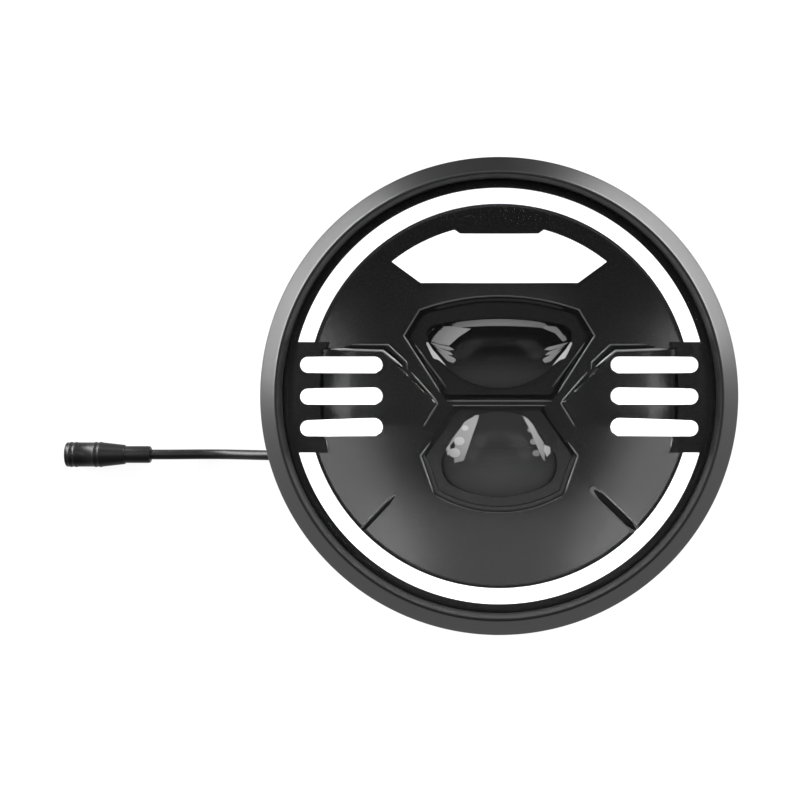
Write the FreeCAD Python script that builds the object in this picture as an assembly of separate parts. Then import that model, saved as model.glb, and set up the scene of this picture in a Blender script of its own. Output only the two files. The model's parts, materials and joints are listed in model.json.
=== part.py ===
"""Round bicycle headlight with a halo ring, six side light bars, a top window, two projector
lenses, a tilting rear bracket and a short lead with a waterproof connector.

The lamp lies on its bracket and faces up. +Z is the optical axis, +Y is the lamp's upper edge
in use, and the origin is under the middle of the lamp, on the bracket's base. Sizes are in mm.
"""
import FreeCAD, Part
import math
import os

V = FreeCAD.Vector

# Heights, each from the face before it, from the bracket's underside to the front
pivot_height = 15.0            # tilt axis
pivot_to_back = 10.5           # tilt axis to the flat back of the rear housing
housing_depth = 22.0           # flat back to the underside of the rim flange
flange_thickness = 3.0
lens_seat_rise = 7.0           # top of the rim flange to the underside of the lens
lens_wall = 2.0
bezel_edge_rise = 5.0          # face of the lens's flange to the bezel's widest edge
bezel_cone_rise = 6.0          # widest edge to the front crest

# Bezel ring
bezel_radius = 82.5
bezel_wall = 3.9               # round the housing's spigot
bezel_cone_width = 6.7         # widest edge to the inner wall, where the view of the lens ends
bezel_crest_width = 0.9
bezel_crest_round = 0.4
bezel_edge_round = 0.7
bezel_overhang = 0.5           # how far the ring stands out past the housing's flange

# Front lens and its seal
lens_crown = 1.5               # rise of the lens at its middle
lens_fit = 0.3                 # radial gap between lens flange and bezel bore
lens_flat_border = 0.6         # flat flange that shows inside the bezel
seal_thickness = 1.8

# Rear housing
housing_wall = 2.5
housing_floor = 3.0
back_radius = 46.0             # flat back
cone_step = 5.9                # spigot's bore to the outside of the cone, at the flange
cone_foot = 1.0                # upright stretch between the cone and the flange
spigot_wall = 2.4
spigot_fit = 0.3
fin_depth = 7.0                # how far the fins stand behind the flat back
fin_thickness = 1.8
fin_pitch = 6.0
fin_count_each_side = 10
fin_end_step = 2.0             # the fins end this far inside the cone's foot
fin_front_drop = 7.0           # flange down to the fins' outer corner
bracket_bay_x = 22.0           # half width of the bay that the bracket swings in
bracket_bay_y = 22.0
ledge_depth = 0.5              # the halo board's ledge lies this far below the flange's top

# Fascia
fascia_wall = 2.0
fascia_fit = 0.2               # radial gap to the bezel's inner wall
fascia_drop = 1.5              # underside of the lens down to the flat face
fascia_bead_height = 1.3
fascia_bead_width = 1.4
fascia_skirt_wall = 1.6
dish_border = 0.4              # halo to the dish's edge
dish_depth = 10.0
side_block_width = 5.1
side_block_top = 18.9
side_block_bottom = -19.8
side_block_depth = 3.5

# Halo
halo_border = 2.7              # fascia's edge to the halo
halo_width = 5.6
halo_gap = 0.12                # gap between a light guide and its opening
guide_proud = 0.3              # how far the guides stand out of the flat face
guide_lip = 0.9
guide_lip_height = 0.9

# Side light bars
bar_count = 3
bar_pitch = 11.1
bar_width = 5.7
bar_length = 28.5
bar_extra_right = 1.8          # the right bars reach this much further inwards
bar_end_gap = 3.2              # halo's outer edge to the outer ends of the bars
bar_inner_rises = (0.7, 0.4, 0.2)   # the bars are this much taller inside, lowest bar first
bar_cut_length = 2.5           # slant at the lower corner of the inner end
bar_cut_angle = 38.0           # degrees below the tip's level where the slant starts
bar_offset_y = -0.2
bar_web_depth = 3.9            # flat face down to the web that joins the bars
bar_web_thickness = 1.2
bar_web_border = 1.6
peg_radius = 1.0
peg_inset = 2.0                # a board's edge to the peg that carries it
peg_overlap = 5.0              # how far a peg runs up beside its light guide

# Top window, right half of its outline
window_border = 6.4            # dish's edge to the curved top
window_gap = 4.1               # upper pocket to the straight foot
window_side_rise = 7.2         # foot to the pointed sides
window_side_reach = 10.0       # how far the points stand out past the foot's ends
window_notch_x = 15.7
window_notch_slope = 1.9       # how far the notch narrows on its way down
window_notch_depth = 1.3
window_pane_depth = 6.0
window_lip = 1.2

# Projector pockets, right half of each outline; depths are from the flat face
pocket_depth = 12.5
pocket_floor_wall = 1.8
pocket_rim_depth = 8.0         # where the bevel meets the rim outline
pocket_bevel = 1.9             # how far the bevel draws the outline in
pocket_wall = 2.0
upper_rim = ((27.9, 30.8), (34.6, 21.6), (19.9, -1.1))
upper_rim_arc_y = 35.9
lower_rim = ((15.7, -3.3), (27.8, -21.4), (22.5, -35.2))
lower_rim_arc_y = -41.9

# Raised wings, left half, and the radial grooves below them
wing_lift = 0.5
wing_shift_y = -6.0
wing_outline = (
    (-62.0, 16.9), (-41.2, 16.5), (-22.9, -1.3), (-22.0, -2.7),
    (-28.1, -12.8), (-40.0, -18.9), (-62.0, -18.9),
)
groove_depth = 0.7
groove_left = ((-47.2, -46.2), (-36.8, -34.8), 1.2)
groove_right = ((47.2, -46.4), (33.0, -33.0), 2.8)

# Projector lenses
upper_lens_half_width = 25.7
upper_lens_side_y = 20.5
upper_lens_bottom_y = 2.9
upper_lens_top_y = 27.8
upper_lens_corner = (23.6, 25.2)
lower_lens_top = (8.2, -6.4)
lower_lens_side = (19.7, -20.5)
lower_lens_low = (17.2, -31.5)
lower_lens_bottom_y = -35.8
lower_lens_arch = 1.0          # rise of the curved top side
lower_lens_bulge = (0.5, -0.8)  # how far the curved flanks stand out past their chord
projector_lens_depth = 6.0     # flat face down to the crown of a lens
projector_lens_fit = 0.15
projector_flange = 1.2         # flange of the lens under the fascia
projector_flange_height = 1.6
lens_ball_border = 1.5         # the ball that crowns a lens is this much wider than the lens
lens_ball_width = 1.05
lens_ball_length = 1.28
holder_wall = 1.6

# Heat path
pad_thickness = 0.5
pad_inset = 2.0
spreader_thickness = 3.0
spreader_side_gap = 18.0       # edge of the flat back to the plate's sides
spreader_foot_gap = 8.0        # and to its lower edge
spreader_head_gap = 16.0       # and to its upper edge
spreader_corner = 4.0

# Boards, light sources and reflectors
board_thickness = 1.6
led_height = 0.7
led_size = 2.6
small_led_size = 2.0
led_spacing = 0.6              # gap between the chips of a projector
projector_led_count = 3
upper_board = (12.0, 8.5, 23.0)     # half width, lowest y, highest y
lower_board = (10.0, -29.0, -13.0)
reflector_gap = 1.7            # reflector's mouth to the lens
reflector_wall = 0.8
reflector_mouth = (15.0, 6.0)
reflector_throat = (6.0, 3.0)
shield_half_width = 7.0
shield_thickness = 0.6
shield_height = 3.4
halo_board_inner_border = 1.3
halo_board_outer_border = 0.3
halo_led_count = 40
side_board_border = 3.2        # the board reaches this far past the bars' inner ends
side_board_length = 18.0
side_board_half = 13.0
side_board_depth = 14.0        # flat face down to the board
side_led_inset = (6.5, 11.0, 15.5)  # from the board's inner end
window_board_border = 2.1
window_board_foot = 3.5        # the board reaches this far below the window's foot
window_board_head = 2.2        # and this far above its points
window_board_depth = 15.0
window_led_count = 6
window_led_rise = 5.5          # window's foot to its row of chips
seat_gap = 0.2                 # assembly gap between stacked inner pieces

# Driver board
driver_gap = 1.4               # heat spreader to the board
driver_width = 11.2
driver_low_y = -27.0
driver_high_y = 18.0
post_height = 3.0
board_post_radius = 1.9
inductor_radius = 4.2
inductor_height = 5.0
inductor_y = 8.5
capacitor_radius = 2.6
capacitor_height = 6.5
capacitor_places_y = (0.0, -6.5)
chip_half_x = 2.5
chip_half_y = 2.3
chip_height = 1.2
chip_y = -12.5
plug_half_y = 2.6
plug_height = 4.6
plug_border = 2.2              # the terminal block reaches this far out past the lead's riser
plug_length = 10.6

# Screws
rim_screw_count = 8
rim_screw_radius = 1.2
rim_screw_length = 8.0
screw_end_gap = 0.4
screw_head_radius = 2.2
screw_head_height = 1.6
screw_socket_share = 0.6       # width and depth of the drive socket, as a share of the screw
screw_clearance = 0.06
spreader_screw_radius = 1.5
spreader_screw_inset = 4.0
spreader_screw_drop = 28.0     # plate's upper edge to the upper pair
spreader_screw_depth = 2.2     # blind holes in the housing's floor
board_screw_radius = 0.9
board_screw_inset = 2.2

# Bracket and tilt pivot
bracket_half_length = 32.0
bracket_half_width = 16.0
bracket_thickness = 3.0
bracket_corner = 6.0
bracket_hole_x = 23.0
bracket_hole_radius = 3.3
bracket_bend = 2.0
cheek_top_radius = 7.5
cheek_top_angle = 11.5         # degrees above the axis where the cheek's round top starts
cheek_foot = 13.0
lug_half_width = 10.0
lug_radius = 7.0
bush_wall = 1.5
bush_press_gap = 0.02
pivot_radius = 3.0
pivot_clearance = 0.05
friction_washer_thickness = 1.0
friction_washer_radius = 7.0
friction_gap = 0.05
washer_thickness = 1.2
washer_radius = 6.0
hex_across_flats = 10.0
bolt_head_height = 4.0
nut_height = 5.0
bolt_end = 1.2

# Gland and strain relief
lead_radius = 1.9
lead_y = -22.4
gland_drop = 8.5               # flat back down to the lead's axis
gland_face_x = -52.0
gland_boss_half = 8.0
gland_boss_reach = 6.6         # the boss runs this far inwards past the lead's riser
gland_boss_rise = 7.0          # and this far up the housing's cone
gland_hex = 13.0
gland_hex_length = 4.5
gland_thread_radius = 5.0
gland_thread_length = 5.0
thread_runout = 0.5
relief_length = 9.5
relief_rings = 4
relief_ring_share = 0.62       # the raised share of each ring
relief_big_radius = 5.0
relief_small_radius = 3.2
relief_groove = 0.5
lead_bore_gap = 0.12
lead_hole_gap = 0.8
riser_gap = 2.0                # driver board to the lead's riser
inner_bend_share = 0.25        # the bend in the boss, as a share of its shorter run
arc_share = 0.45               # every other bend of the lead
exit_gap = 0.3

# Connector, its ridges as (start, end) from the mouth
connector_mouth_x = -165.5
connector_length = 32.1
connector_ridges = ((1.3, 2.3), (3.2, 4.2), (10.75, 11.75), (12.6, 13.6))
connector_ridge_radius = 4.85
connector_body_radius = 4.7
connector_taper_end = 22.3
connector_taper_radius = 3.7
connector_neck_radius = 3.25
connector_chamfer = 0.8
connector_mouth_round = 0.3
connector_bore = 3.4
connector_bore_depth = 6.2
connector_seat_radius = 3.0    # the insert's seat behind the bore
connector_fit = 0.05
connector_seal_height = 0.8
connector_seal_width = 1.0
insert_length = 9.0
insert_floor = 1.0
contact_radius = 0.55
contact_wall = 0.25
contact_socket_depth = 5.0
contact_inset = 0.4
contact_circle = 1.6
contact_count = 3

# Breather vent
vent_y = 36.0
vent_radius = 5.0
vent_shank_radius = 3.0
vent_height = 1.6
vent_bay_border = 2.0

# Sizes that follow from the ones above
back_height = pivot_height + pivot_to_back
flange_bottom = back_height + housing_depth
flange_top = flange_bottom + flange_thickness
lens_bottom = flange_top + lens_seat_rise
lens_top = lens_bottom + lens_wall
bezel_edge_height = lens_top + bezel_edge_rise
bezel_crest_height = bezel_edge_height + bezel_cone_rise
bezel_bore = bezel_radius - bezel_wall
bezel_crest_radius = bezel_radius - bezel_cone_width
flange_radius = bezel_radius - bezel_overhang
rim_screw_circle = (bezel_radius + bezel_bore) / 2
spigot_radius = bezel_bore - spigot_fit
spigot_bore = spigot_radius - spigot_wall
spigot_top = lens_bottom - seal_thickness
ledge_height = flange_top - ledge_depth
floor_height = back_height + housing_floor
cone_radius = spigot_bore - cone_step
cone_slope = (cone_radius - back_radius) / (housing_depth - cone_foot)
cone_offset = housing_wall * math.hypot(1.0, cone_slope)
fascia_radius = bezel_crest_radius - fascia_fit
fascia_face = lens_bottom - fascia_drop
halo_outer = fascia_radius - halo_border
halo_inner = halo_outer - halo_width
dish_radius = halo_inner - dish_border
side_block_radius = dish_radius - side_block_width
bar_outer_x = halo_outer - bar_end_gap
bar_inner_x = bar_outer_x - bar_length
window_arc_radius = dish_radius - window_border
window_bottom_y = upper_rim_arc_y + window_gap
window_tip_y = window_bottom_y + window_side_rise
window_tip_x = math.sqrt(window_arc_radius ** 2 - window_tip_y ** 2)
window_bottom_x = window_tip_x - window_side_reach
pocket_floor = fascia_face - pocket_depth
pocket_rim_top = fascia_face - pocket_rim_depth
projector_lens_apex = fascia_face - projector_lens_depth
projector_flange_top = pocket_floor - pocket_floor_wall - seat_gap
projector_flange_bottom = projector_flange_top - projector_flange_height
spreader_bottom = floor_height + pad_thickness
spreader_top = spreader_bottom + spreader_thickness
spreader_half_width = back_radius - spreader_side_gap
spreader_bottom_y = spreader_foot_gap - back_radius
spreader_top_y = back_radius - spreader_head_gap
board_top = spreader_top + board_thickness
reflector_top = projector_flange_bottom - reflector_gap
halo_board_top = ledge_height + board_thickness
guide_foot = halo_board_top + led_height + seat_gap
side_board_near = bar_inner_x - side_board_border
side_board_far = side_board_near + side_board_length
side_board_top = fascia_face - side_board_depth
window_board_half = window_bottom_x + window_board_border
window_board_top = fascia_face - window_board_depth
driver_inner_x = -spreader_half_width - driver_gap
driver_outer_x = driver_inner_x - driver_width
driver_middle_x = (driver_inner_x + driver_outer_x) / 2
driver_board_height = floor_height + post_height
driver_top = driver_board_height + board_thickness
gland_height = back_height - gland_drop
inner_lead_x = driver_outer_x - riser_gap
lead_exit_x = gland_face_x - gland_hex_length - relief_length
cheek_inner_x = lug_half_width + friction_washer_thickness + 2 * friction_gap
cheek_outer_x = cheek_inner_x + bracket_thickness
connector_neck_x = connector_mouth_x + connector_length
connector_seat_x = connector_mouth_x + connector_bore_depth
wide = 200.0                        # half span of a cutter that clears every piece
sink = 0.5                          # how far a piece of one solid reaches into the next


def point(pair, z=0.0):
    return V(pair[0], pair[1], z)


def mirror_pairs(pairs):
    """The left half of an outline, in reverse order, so that it closes a right half."""
    return [(-x, y) for x, y in reversed(pairs)]


def wire_of(pairs, z, arc_to=None):
    """Closed wire through the pairs; the last side is an arc through arc_to where it is given."""
    corners = [point(p, z) for p in pairs]
    edges = [Part.LineSegment(a, b).toShape() for a, b in zip(corners, corners[1:])]
    if arc_to is None:
        edges.append(Part.LineSegment(corners[-1], corners[0]).toShape())
    else:
        edges.append(Part.Arc(corners[-1], point(arc_to, z), corners[0]).toShape())
    return Part.Wire(edges)


def prism(wire, height):
    return Part.Face(wire).extrude(V(0, 0, height))


def block(x0, x1, y0, y1, z0, z1):
    return Part.makeBox(x1 - x0, y1 - y0, z1 - z0, V(x0, y0, z0))


def disc(radius, z0, z1, x=0.0, y=0.0):
    return Part.makeCylinder(radius, z1 - z0, V(x, y, z0))


def ring(inner, outer, z0, z1, x=0.0, y=0.0):
    return disc(outer, z0, z1, x, y).cut(disc(inner, z0 - 1, z1 + 1, x, y))


def rod_x(radius, x0, x1, y, z):
    return Part.makeCylinder(radius, x1 - x0, V(x0, y, z), V(1, 0, 0))


def revolved(wire, centre, axis):
    """Full turn of a closed flat wire, with its skin facing outwards."""
    solid = Part.Face(wire).revolve(centre, axis, 360)
    if solid.Volume < 0:
        solid.reverse()
    return solid


def turned(pairs):
    """Solid of revolution about Z from a closed outline of (radius, height) pairs."""
    corners = [V(r, 0, z) for r, z in pairs]
    return revolved(Part.makePolygon(corners + [corners[0]]), V(0, 0, 0), V(0, 0, 1))


def hexagon_x(across_flats, x0, x1, y, z):
    reach = across_flats / 2 / math.cos(math.pi / 6)
    angles = [math.pi / 6 + k * math.pi / 3 for k in range(6)]
    corners = [V(x0, y + reach * math.cos(a), z + reach * math.sin(a)) for a in angles]
    return Part.Face(Part.makePolygon(corners + [corners[0]])).extrude(V(x1 - x0, 0, 0))


def offset_wire(wire, distance):
    return wire.makeOffset2D(distance, 0, False, False)


def dish_height(radius):
    """Height of the dish's front surface, a shallow ball cap."""
    ball = (dish_radius ** 2 + dish_depth ** 2) / (2 * dish_depth)
    return fascia_face - dish_depth + ball - math.sqrt(ball ** 2 - radius ** 2)


def dish_layer(top_drop, bottom_drop, radius=dish_radius):
    """The layer between two copies of the dish surface, dropped by these amounts."""
    stations = (0.0, radius / 2, radius)
    upper = [V(r, 0, dish_height(r) - top_drop) for r in stations]
    lower = [V(r, 0, dish_height(r) - bottom_drop) for r in stations]
    edges = [
        Part.Arc(*upper).toShape(),
        Part.LineSegment(upper[2], lower[2]).toShape(),
        Part.Arc(lower[2], lower[1], lower[0]).toShape(),
        Part.LineSegment(lower[0], upper[0]).toShape(),
    ]
    return revolved(Part.Wire(edges), V(0, 0, 0), V(0, 0, 1))


def front_layer(top_drop, bottom_drop):
    """The fascia's whole front, dish, side blocks and flat rim, as a layer at these depths."""
    flat = ring(dish_radius, spigot_bore - seat_gap, fascia_face - bottom_drop, fascia_face - top_drop)
    blocks = ring(side_block_radius, dish_radius, fascia_face - bottom_drop, fascia_face - top_drop)
    blocks = blocks.common(block(-wide, wide, side_block_bottom, side_block_top, 0, wide))
    dish = dish_layer(top_drop, bottom_drop)
    dish = dish.cut(block_bay())
    return dish.fuse([flat, blocks])


def block_bay():
    """The space over the dish that the flat side blocks take up."""
    bay = ring(side_block_radius, dish_radius + sink, 0, wide)
    return bay.common(block(-wide, wide, side_block_bottom, side_block_top, 0, wide))


def cavity():
    """The hollow of the rear housing, up to the front of the spigot."""
    inner_start = back_radius - cone_offset + cone_slope * housing_floor
    inner_end = inner_start + cone_slope * (ledge_height - floor_height)
    outline = [
        (0, floor_height),
        (inner_start, floor_height),
        (inner_end, ledge_height),
        (spigot_bore, ledge_height),
        (spigot_bore, lens_bottom),
        (0, lens_bottom),
    ]
    return turned(outline)


def halo_sector(upper, gap):
    """Plan shape of one halo arc, shrunk by the gap, as a tall cutter."""
    arc = ring(halo_inner + gap, halo_outer - gap, 0, wide)
    if upper:
        return arc.common(block(-wide, wide, side_block_top + gap, wide, 0, wide))
    return arc.common(block(-wide, wide, -wide, side_block_bottom - gap, 0, wide))


def bar_wire(index, side, grow):
    """Outline of one light bar: its top edge rises inwards, and its inner end is slanted below."""
    y = bar_y(index)
    half = bar_width / 2 + grow
    outer = bar_outer_x - bar_width / 2
    lift = bar_inner_rises[index]
    round_inner = half + lift / 2
    centre = V(bar_inner(side) + round_inner - grow, y + lift / 2, 0)

    def at(x, height):
        return V(side * x, height, 0)

    def on_round(degrees):
        angle = math.radians(degrees)
        return at(centre.x - round_inner * math.cos(angle), centre.y + round_inner * math.sin(angle))

    start = at(outer, y - half)
    slant_end = at(bar_inner(side) + bar_cut_length, y - half)
    slant_start = on_round(-bar_cut_angle)
    inner_top = at(centre.x, y + half + lift)
    outer_top = at(outer, y + half)
    edges = [
        Part.LineSegment(start, slant_end).toShape(),
        Part.LineSegment(slant_end, slant_start).toShape(),
        Part.Arc(slant_start, on_round(45.0), inner_top).toShape(),
        Part.LineSegment(inner_top, outer_top).toShape(),
        Part.Arc(outer_top, at(bar_outer_x + grow, y), start).toShape(),
    ]
    return Part.Wire(edges)


def window_wire():
    """Outline of the top window: straight foot, pointed sides, curved top with a shallow notch."""
    top_y = math.sqrt(window_arc_radius ** 2 - window_notch_x ** 2)
    notch_x = window_notch_x - window_notch_slope
    half_angle = (math.atan2(top_y, window_notch_x) + math.atan2(window_tip_y, window_tip_x)) / 2
    bulge = (window_arc_radius * math.cos(half_angle), window_arc_radius * math.sin(half_angle))
    foot = V(window_bottom_x, window_bottom_y, 0)
    tip = V(window_tip_x, window_tip_y, 0)
    crown = V(window_notch_x, top_y, 0)
    notch = V(notch_x, top_y - window_notch_depth, 0)
    right = [
        Part.LineSegment(foot, tip).toShape(),
        Part.Arc(tip, V(bulge[0], bulge[1], 0), crown).toShape(),
        Part.LineSegment(crown, notch).toShape(),
    ]
    left = [edge.mirror(V(0, 0, 0), V(1, 0, 0)) for edge in right]
    middle = [
        Part.LineSegment(notch, V(-notch_x, notch.y, 0)).toShape(),
        Part.LineSegment(V(-window_bottom_x, window_bottom_y, 0), foot).toShape(),
    ]
    return Part.Wire(Part.__sortEdges__(right + left + middle))


def outline_pairs(right_half, arc_first):
    """Whole outline from its right half, ordered so that the arc is the last side."""
    if arc_first:
        return list(right_half) + mirror_pairs(right_half)
    return list(reversed(right_half)) + mirror_pairs(list(reversed(right_half)))


def pocket_wire(right_half, arc_y, z):
    arc_first = arc_y > 0
    return wire_of(outline_pairs(right_half, arc_first), z, (0, arc_y))


def pocket_space(rim, rim_arc_y):
    """Bevelled pocket: the rim outline, drawn in evenly down to the floor and out past the dish."""
    mid_wire = pocket_wire(rim, rim_arc_y, 0.0)
    floor_wire = offset_wire(mid_wire, -pocket_bevel)
    mouth_wire = offset_wire(mid_wire, pocket_bevel)
    floor_wire.translate(V(0, 0, pocket_floor))
    mouth_wire.translate(V(0, 0, 2 * pocket_rim_top - pocket_floor))
    space = Part.makeLoft([floor_wire, mouth_wire], True, True)
    if space.Volume < 0:
        space.reverse()
    return space


def upper_lens_wire():
    side = V(upper_lens_half_width, upper_lens_side_y, 0)
    corner = V(upper_lens_corner[0], upper_lens_corner[1], 0)
    bulge = V(upper_lens_half_width, (side.y + corner.y) / 2, 0)
    left = [V(-p.x, p.y, 0) for p in (side, bulge, corner)]
    edges = [
        Part.Arc(left[0], V(0, upper_lens_bottom_y, 0), side).toShape(),
        Part.Arc(side, bulge, corner).toShape(),
        Part.Arc(corner, V(0, upper_lens_top_y, 0), left[2]).toShape(),
        Part.Arc(left[2], left[1], left[0]).toShape(),
    ]
    return Part.Wire(edges)


def lower_lens_wire():
    top = V(lower_lens_top[0], lower_lens_top[1], 0)
    side = V(lower_lens_side[0], lower_lens_side[1], 0)
    low = V(lower_lens_low[0], lower_lens_low[1], 0)
    left = [V(-p.x, p.y, 0) for p in (top, side, low)]
    bulge_x = side.x + lower_lens_bulge[0]
    bulge_y = (side.y + low.y) / 2 + lower_lens_bulge[1]
    edges = [
        Part.LineSegment(top, side).toShape(),
        Part.Arc(side, V(bulge_x, bulge_y, 0), low).toShape(),
        Part.Arc(low, V(0, lower_lens_bottom_y, 0), left[2]).toShape(),
        Part.Arc(left[2], V(-bulge_x, bulge_y, 0), left[1]).toShape(),
        Part.LineSegment(left[1], left[0]).toShape(),
        Part.Arc(left[0], V(0, top.y + lower_lens_arch, 0), top).toShape(),
    ]
    return Part.Wire(edges)


def groove(start, end, width):
    """Rounded groove cutter of a steady depth below the dish."""
    along = V(end[0] - start[0], end[1] - start[1], 0)
    side = V(-along.y, along.x, 0).normalize() * (width / 2)
    a = point(start)
    b = point(end)
    tip = along.normalize() * (width / 2)
    edges = [
        Part.LineSegment(a + side, b + side).toShape(),
        Part.Arc(b + side, b + tip, b - side).toShape(),
        Part.LineSegment(b - side, a - side).toShape(),
        Part.Arc(a - side, a - tip, a + side).toShape(),
    ]
    return prism(Part.Wire(edges), wide).common(dish_layer(-sink, groove_depth))


# Front group

def bezel_ring():
    cone_top = (bezel_crest_radius + bezel_crest_width, bezel_crest_height)
    outline = [
        (bezel_radius, flange_top),
        (bezel_radius, bezel_edge_height - bezel_edge_round),
        (bezel_radius - bezel_edge_round, bezel_edge_height),
        cone_top,
        (bezel_crest_radius + bezel_crest_round, bezel_crest_height),
        (bezel_crest_radius, bezel_crest_height - bezel_crest_round),
        (bezel_crest_radius, lens_top),
        (bezel_bore, lens_top),
        (bezel_bore, flange_top),
    ]
    holes = [disc(rim_screw_radius + screw_clearance, 0, flange_top + rim_screw_length, *place)
             for place in rim_screw_places()]
    return turned(outline).cut(Part.makeCompound(holes))


def front_lens():
    flange = bezel_bore - lens_fit
    clear = bezel_crest_radius - lens_flat_border
    sphere = (clear ** 2 + lens_crown ** 2) / (2 * lens_crown)

    def crown(radius, base):
        return V(radius, 0, base + lens_crown + math.sqrt(sphere ** 2 - radius ** 2) - sphere)

    top = [crown(r, lens_top) for r in (0.0, clear / 2, clear)]
    under = [crown(r, lens_bottom) for r in (clear, clear / 2, 0.0)]
    edges = [
        Part.Arc(*top).toShape(),
        Part.LineSegment(top[2], V(flange, 0, lens_top)).toShape(),
        Part.LineSegment(V(flange, 0, lens_top), V(flange, 0, lens_bottom)).toShape(),
        Part.LineSegment(V(flange, 0, lens_bottom), under[0]).toShape(),
        Part.Arc(*under).toShape(),
        Part.LineSegment(under[2], top[0]).toShape(),
    ]
    return revolved(Part.Wire(edges), V(0, 0, 0), V(0, 0, 1))


def lens_seal():
    return ring(spigot_bore, spigot_radius, spigot_top, lens_bottom)


def fascia_shell():
    """Dish, flat rim, bead and skirt, turned in one piece."""
    face = fascia_face
    back = fascia_face - fascia_wall
    bead_inner = fascia_radius - fascia_bead_width
    skirt_inner = fascia_radius - fascia_skirt_wall
    front = [V(r, 0, dish_height(r)) for r in (0.0, dish_radius / 2, dish_radius)]
    rear = [V(p.x, 0, p.z - fascia_wall) for p in reversed(front)]
    flat = [
        front[2], V(bead_inner, 0, face), V(bead_inner, 0, face + fascia_bead_height),
        V(fascia_radius, 0, face + fascia_bead_height), V(fascia_radius, 0, ledge_height),
        V(skirt_inner, 0, ledge_height), V(skirt_inner, 0, back), rear[0],
    ]
    edges = [Part.Arc(*front).toShape()]
    edges += [Part.LineSegment(p, q).toShape() for p, q in zip(flat, flat[1:])]
    edges += [Part.Arc(*rear).toShape(), Part.LineSegment(rear[2], front[0]).toShape()]
    return revolved(Part.Wire(edges), V(0, 0, 0), V(0, 0, 1))


def side_blocks():
    """Flat blocks that carry the outer ends of the light bars across the dish's edge."""
    blocks = ring(side_block_radius, dish_radius + sink, fascia_face - side_block_depth, fascia_face)
    return blocks.common(block(-wide, wide, side_block_bottom, side_block_top, 0, wide))


def fascia():
    under_dish = dish_layer(0.0, 3 * dish_depth)
    pockets = []
    rooms = []
    for rim_half, rim_arc in ((upper_rim, upper_rim_arc_y), (lower_rim, lower_rim_arc_y)):
        pockets.append(pocket_space(rim_half, rim_arc))
        tub = offset_wire(pocket_wire(rim_half, rim_arc, pocket_floor - pocket_floor_wall),
                          pocket_wall - pocket_bevel)
        rooms.append(prism(tub, wide).common(under_dish))
    wings = wing_pair()
    body = fascia_shell()
    for piece in rooms + wings + [side_blocks()]:
        body = body.fuse(piece)
    lens_wires = (upper_lens_wire(), lower_lens_wire())
    cutters = [prism(offset_wire(wire, projector_lens_fit), wide) for wire in lens_wires]
    cutters += pockets
    cutters += [halo_sector(True, 0.0), halo_sector(False, 0.0)]
    for side in (-1, 1):
        cutters += [prism(bar_wire(k, side, 0.0), wide) for k in range(bar_count)]
    cutters.append(prism(window_wire(), wide))
    cutters.append(groove(*groove_left))
    cutters.append(groove(*groove_right))
    for cutter in cutters:
        body = body.cut(cutter)
    return body.removeSplitter()


def wing_pair():
    """The two lifted wings that carry the light bars; they sink into the dish at their foot."""
    layer = dish_layer(0.0, fascia_wall + wing_lift)
    layer.translate(V(0, wing_shift_y, wing_lift))
    left = prism(wire_of(wing_outline, 0), wide)
    inside = disc(side_block_radius + seat_gap, 0, wide)
    left = layer.common(left).common(inside)
    return [left, left.mirror(V(0, 0, 0), V(1, 0, 0))]


def halo_guide(upper):
    """White light pipe of one halo arc, with a lip that holds it behind the fascia."""
    pipe = halo_sector(upper, halo_gap).common(disc(wide, guide_foot, fascia_face + guide_proud))
    lip = ring(halo_inner - guide_lip, halo_outer + guide_lip, guide_foot, guide_foot + guide_lip_height)
    half_plane = block(-wide, wide, side_block_top, wide, 0, wide)
    if not upper:
        half_plane = block(-wide, wide, -wide, side_block_bottom, 0, wide)
    return pipe.fuse(lip.common(half_plane)).removeSplitter()


def bar_y(index):
    return bar_offset_y + (index - (bar_count - 1) / 2) * bar_pitch


def bar_inner(side):
    """Distance from the middle to the inner ends of the bars of one side."""
    return bar_inner_x - bar_extra_right if side > 0 else bar_inner_x


def side_bars(side):
    """Comb of three light bars on one web, in the left or the right block."""
    x0, x1 = sorted((side * (bar_inner(side) - bar_web_border), side * (bar_outer_x + bar_web_border)))
    reach = bar_width / 2 + bar_web_border
    span = block(x0, x1, bar_y(0) - reach, bar_y(bar_count - 1) + reach, 0, wide)
    web = front_layer(bar_web_depth, bar_web_depth + bar_web_thickness).common(span)
    lit = front_layer(-guide_proud, fascia_face)
    inside = cavity_for_guides()
    over_chips = disc(wide, side_board_top + led_height + seat_gap, wide)
    bars = [prism(bar_wire(k, side, -halo_gap), wide).common(lit).common(inside).common(over_chips)
            for k in range(bar_count)]
    peg_x = side * (side_board_near + 2 * peg_inset)
    peg_places = [(peg_x, y) for y in (peg_inset - side_board_half, side_board_half - peg_inset)]
    pegs = [disc(peg_radius, side_board_top, side_board_top + peg_overlap, *place) for place in peg_places]
    comb = bars[0].fuse(bars[1:] + [web] + pegs)
    return comb.common(inside).removeSplitter()


def cavity_for_guides():
    """The room that guides may fill: over the side boards and clear of the halo's board."""
    halo_room = ring(halo_board_inner() - sink, wide, 0, guide_foot)
    return cavity().cut(halo_room).cut(disc(wide, 0, side_board_top))


def top_window():
    lit = front_layer(-guide_proud + seat_gap, window_pane_depth)
    pane = prism(offset_wire(window_wire(), -halo_gap), wide).common(lit)
    lip_layer = front_layer(fascia_wall + seat_gap, fascia_wall + seat_gap + window_lip)
    lip = prism(offset_wire(window_wire(), window_lip), wide).common(lip_layer)
    peg_x = window_board_half - 3 * peg_inset
    peg_y = window_bottom_y + peg_inset
    peg_top = window_board_top + peg_overlap
    pegs = [disc(peg_radius, window_board_top, peg_top, x, peg_y) for x in (-peg_x, peg_x)]
    return pane.fuse([lip] + pegs).removeSplitter()


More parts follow.
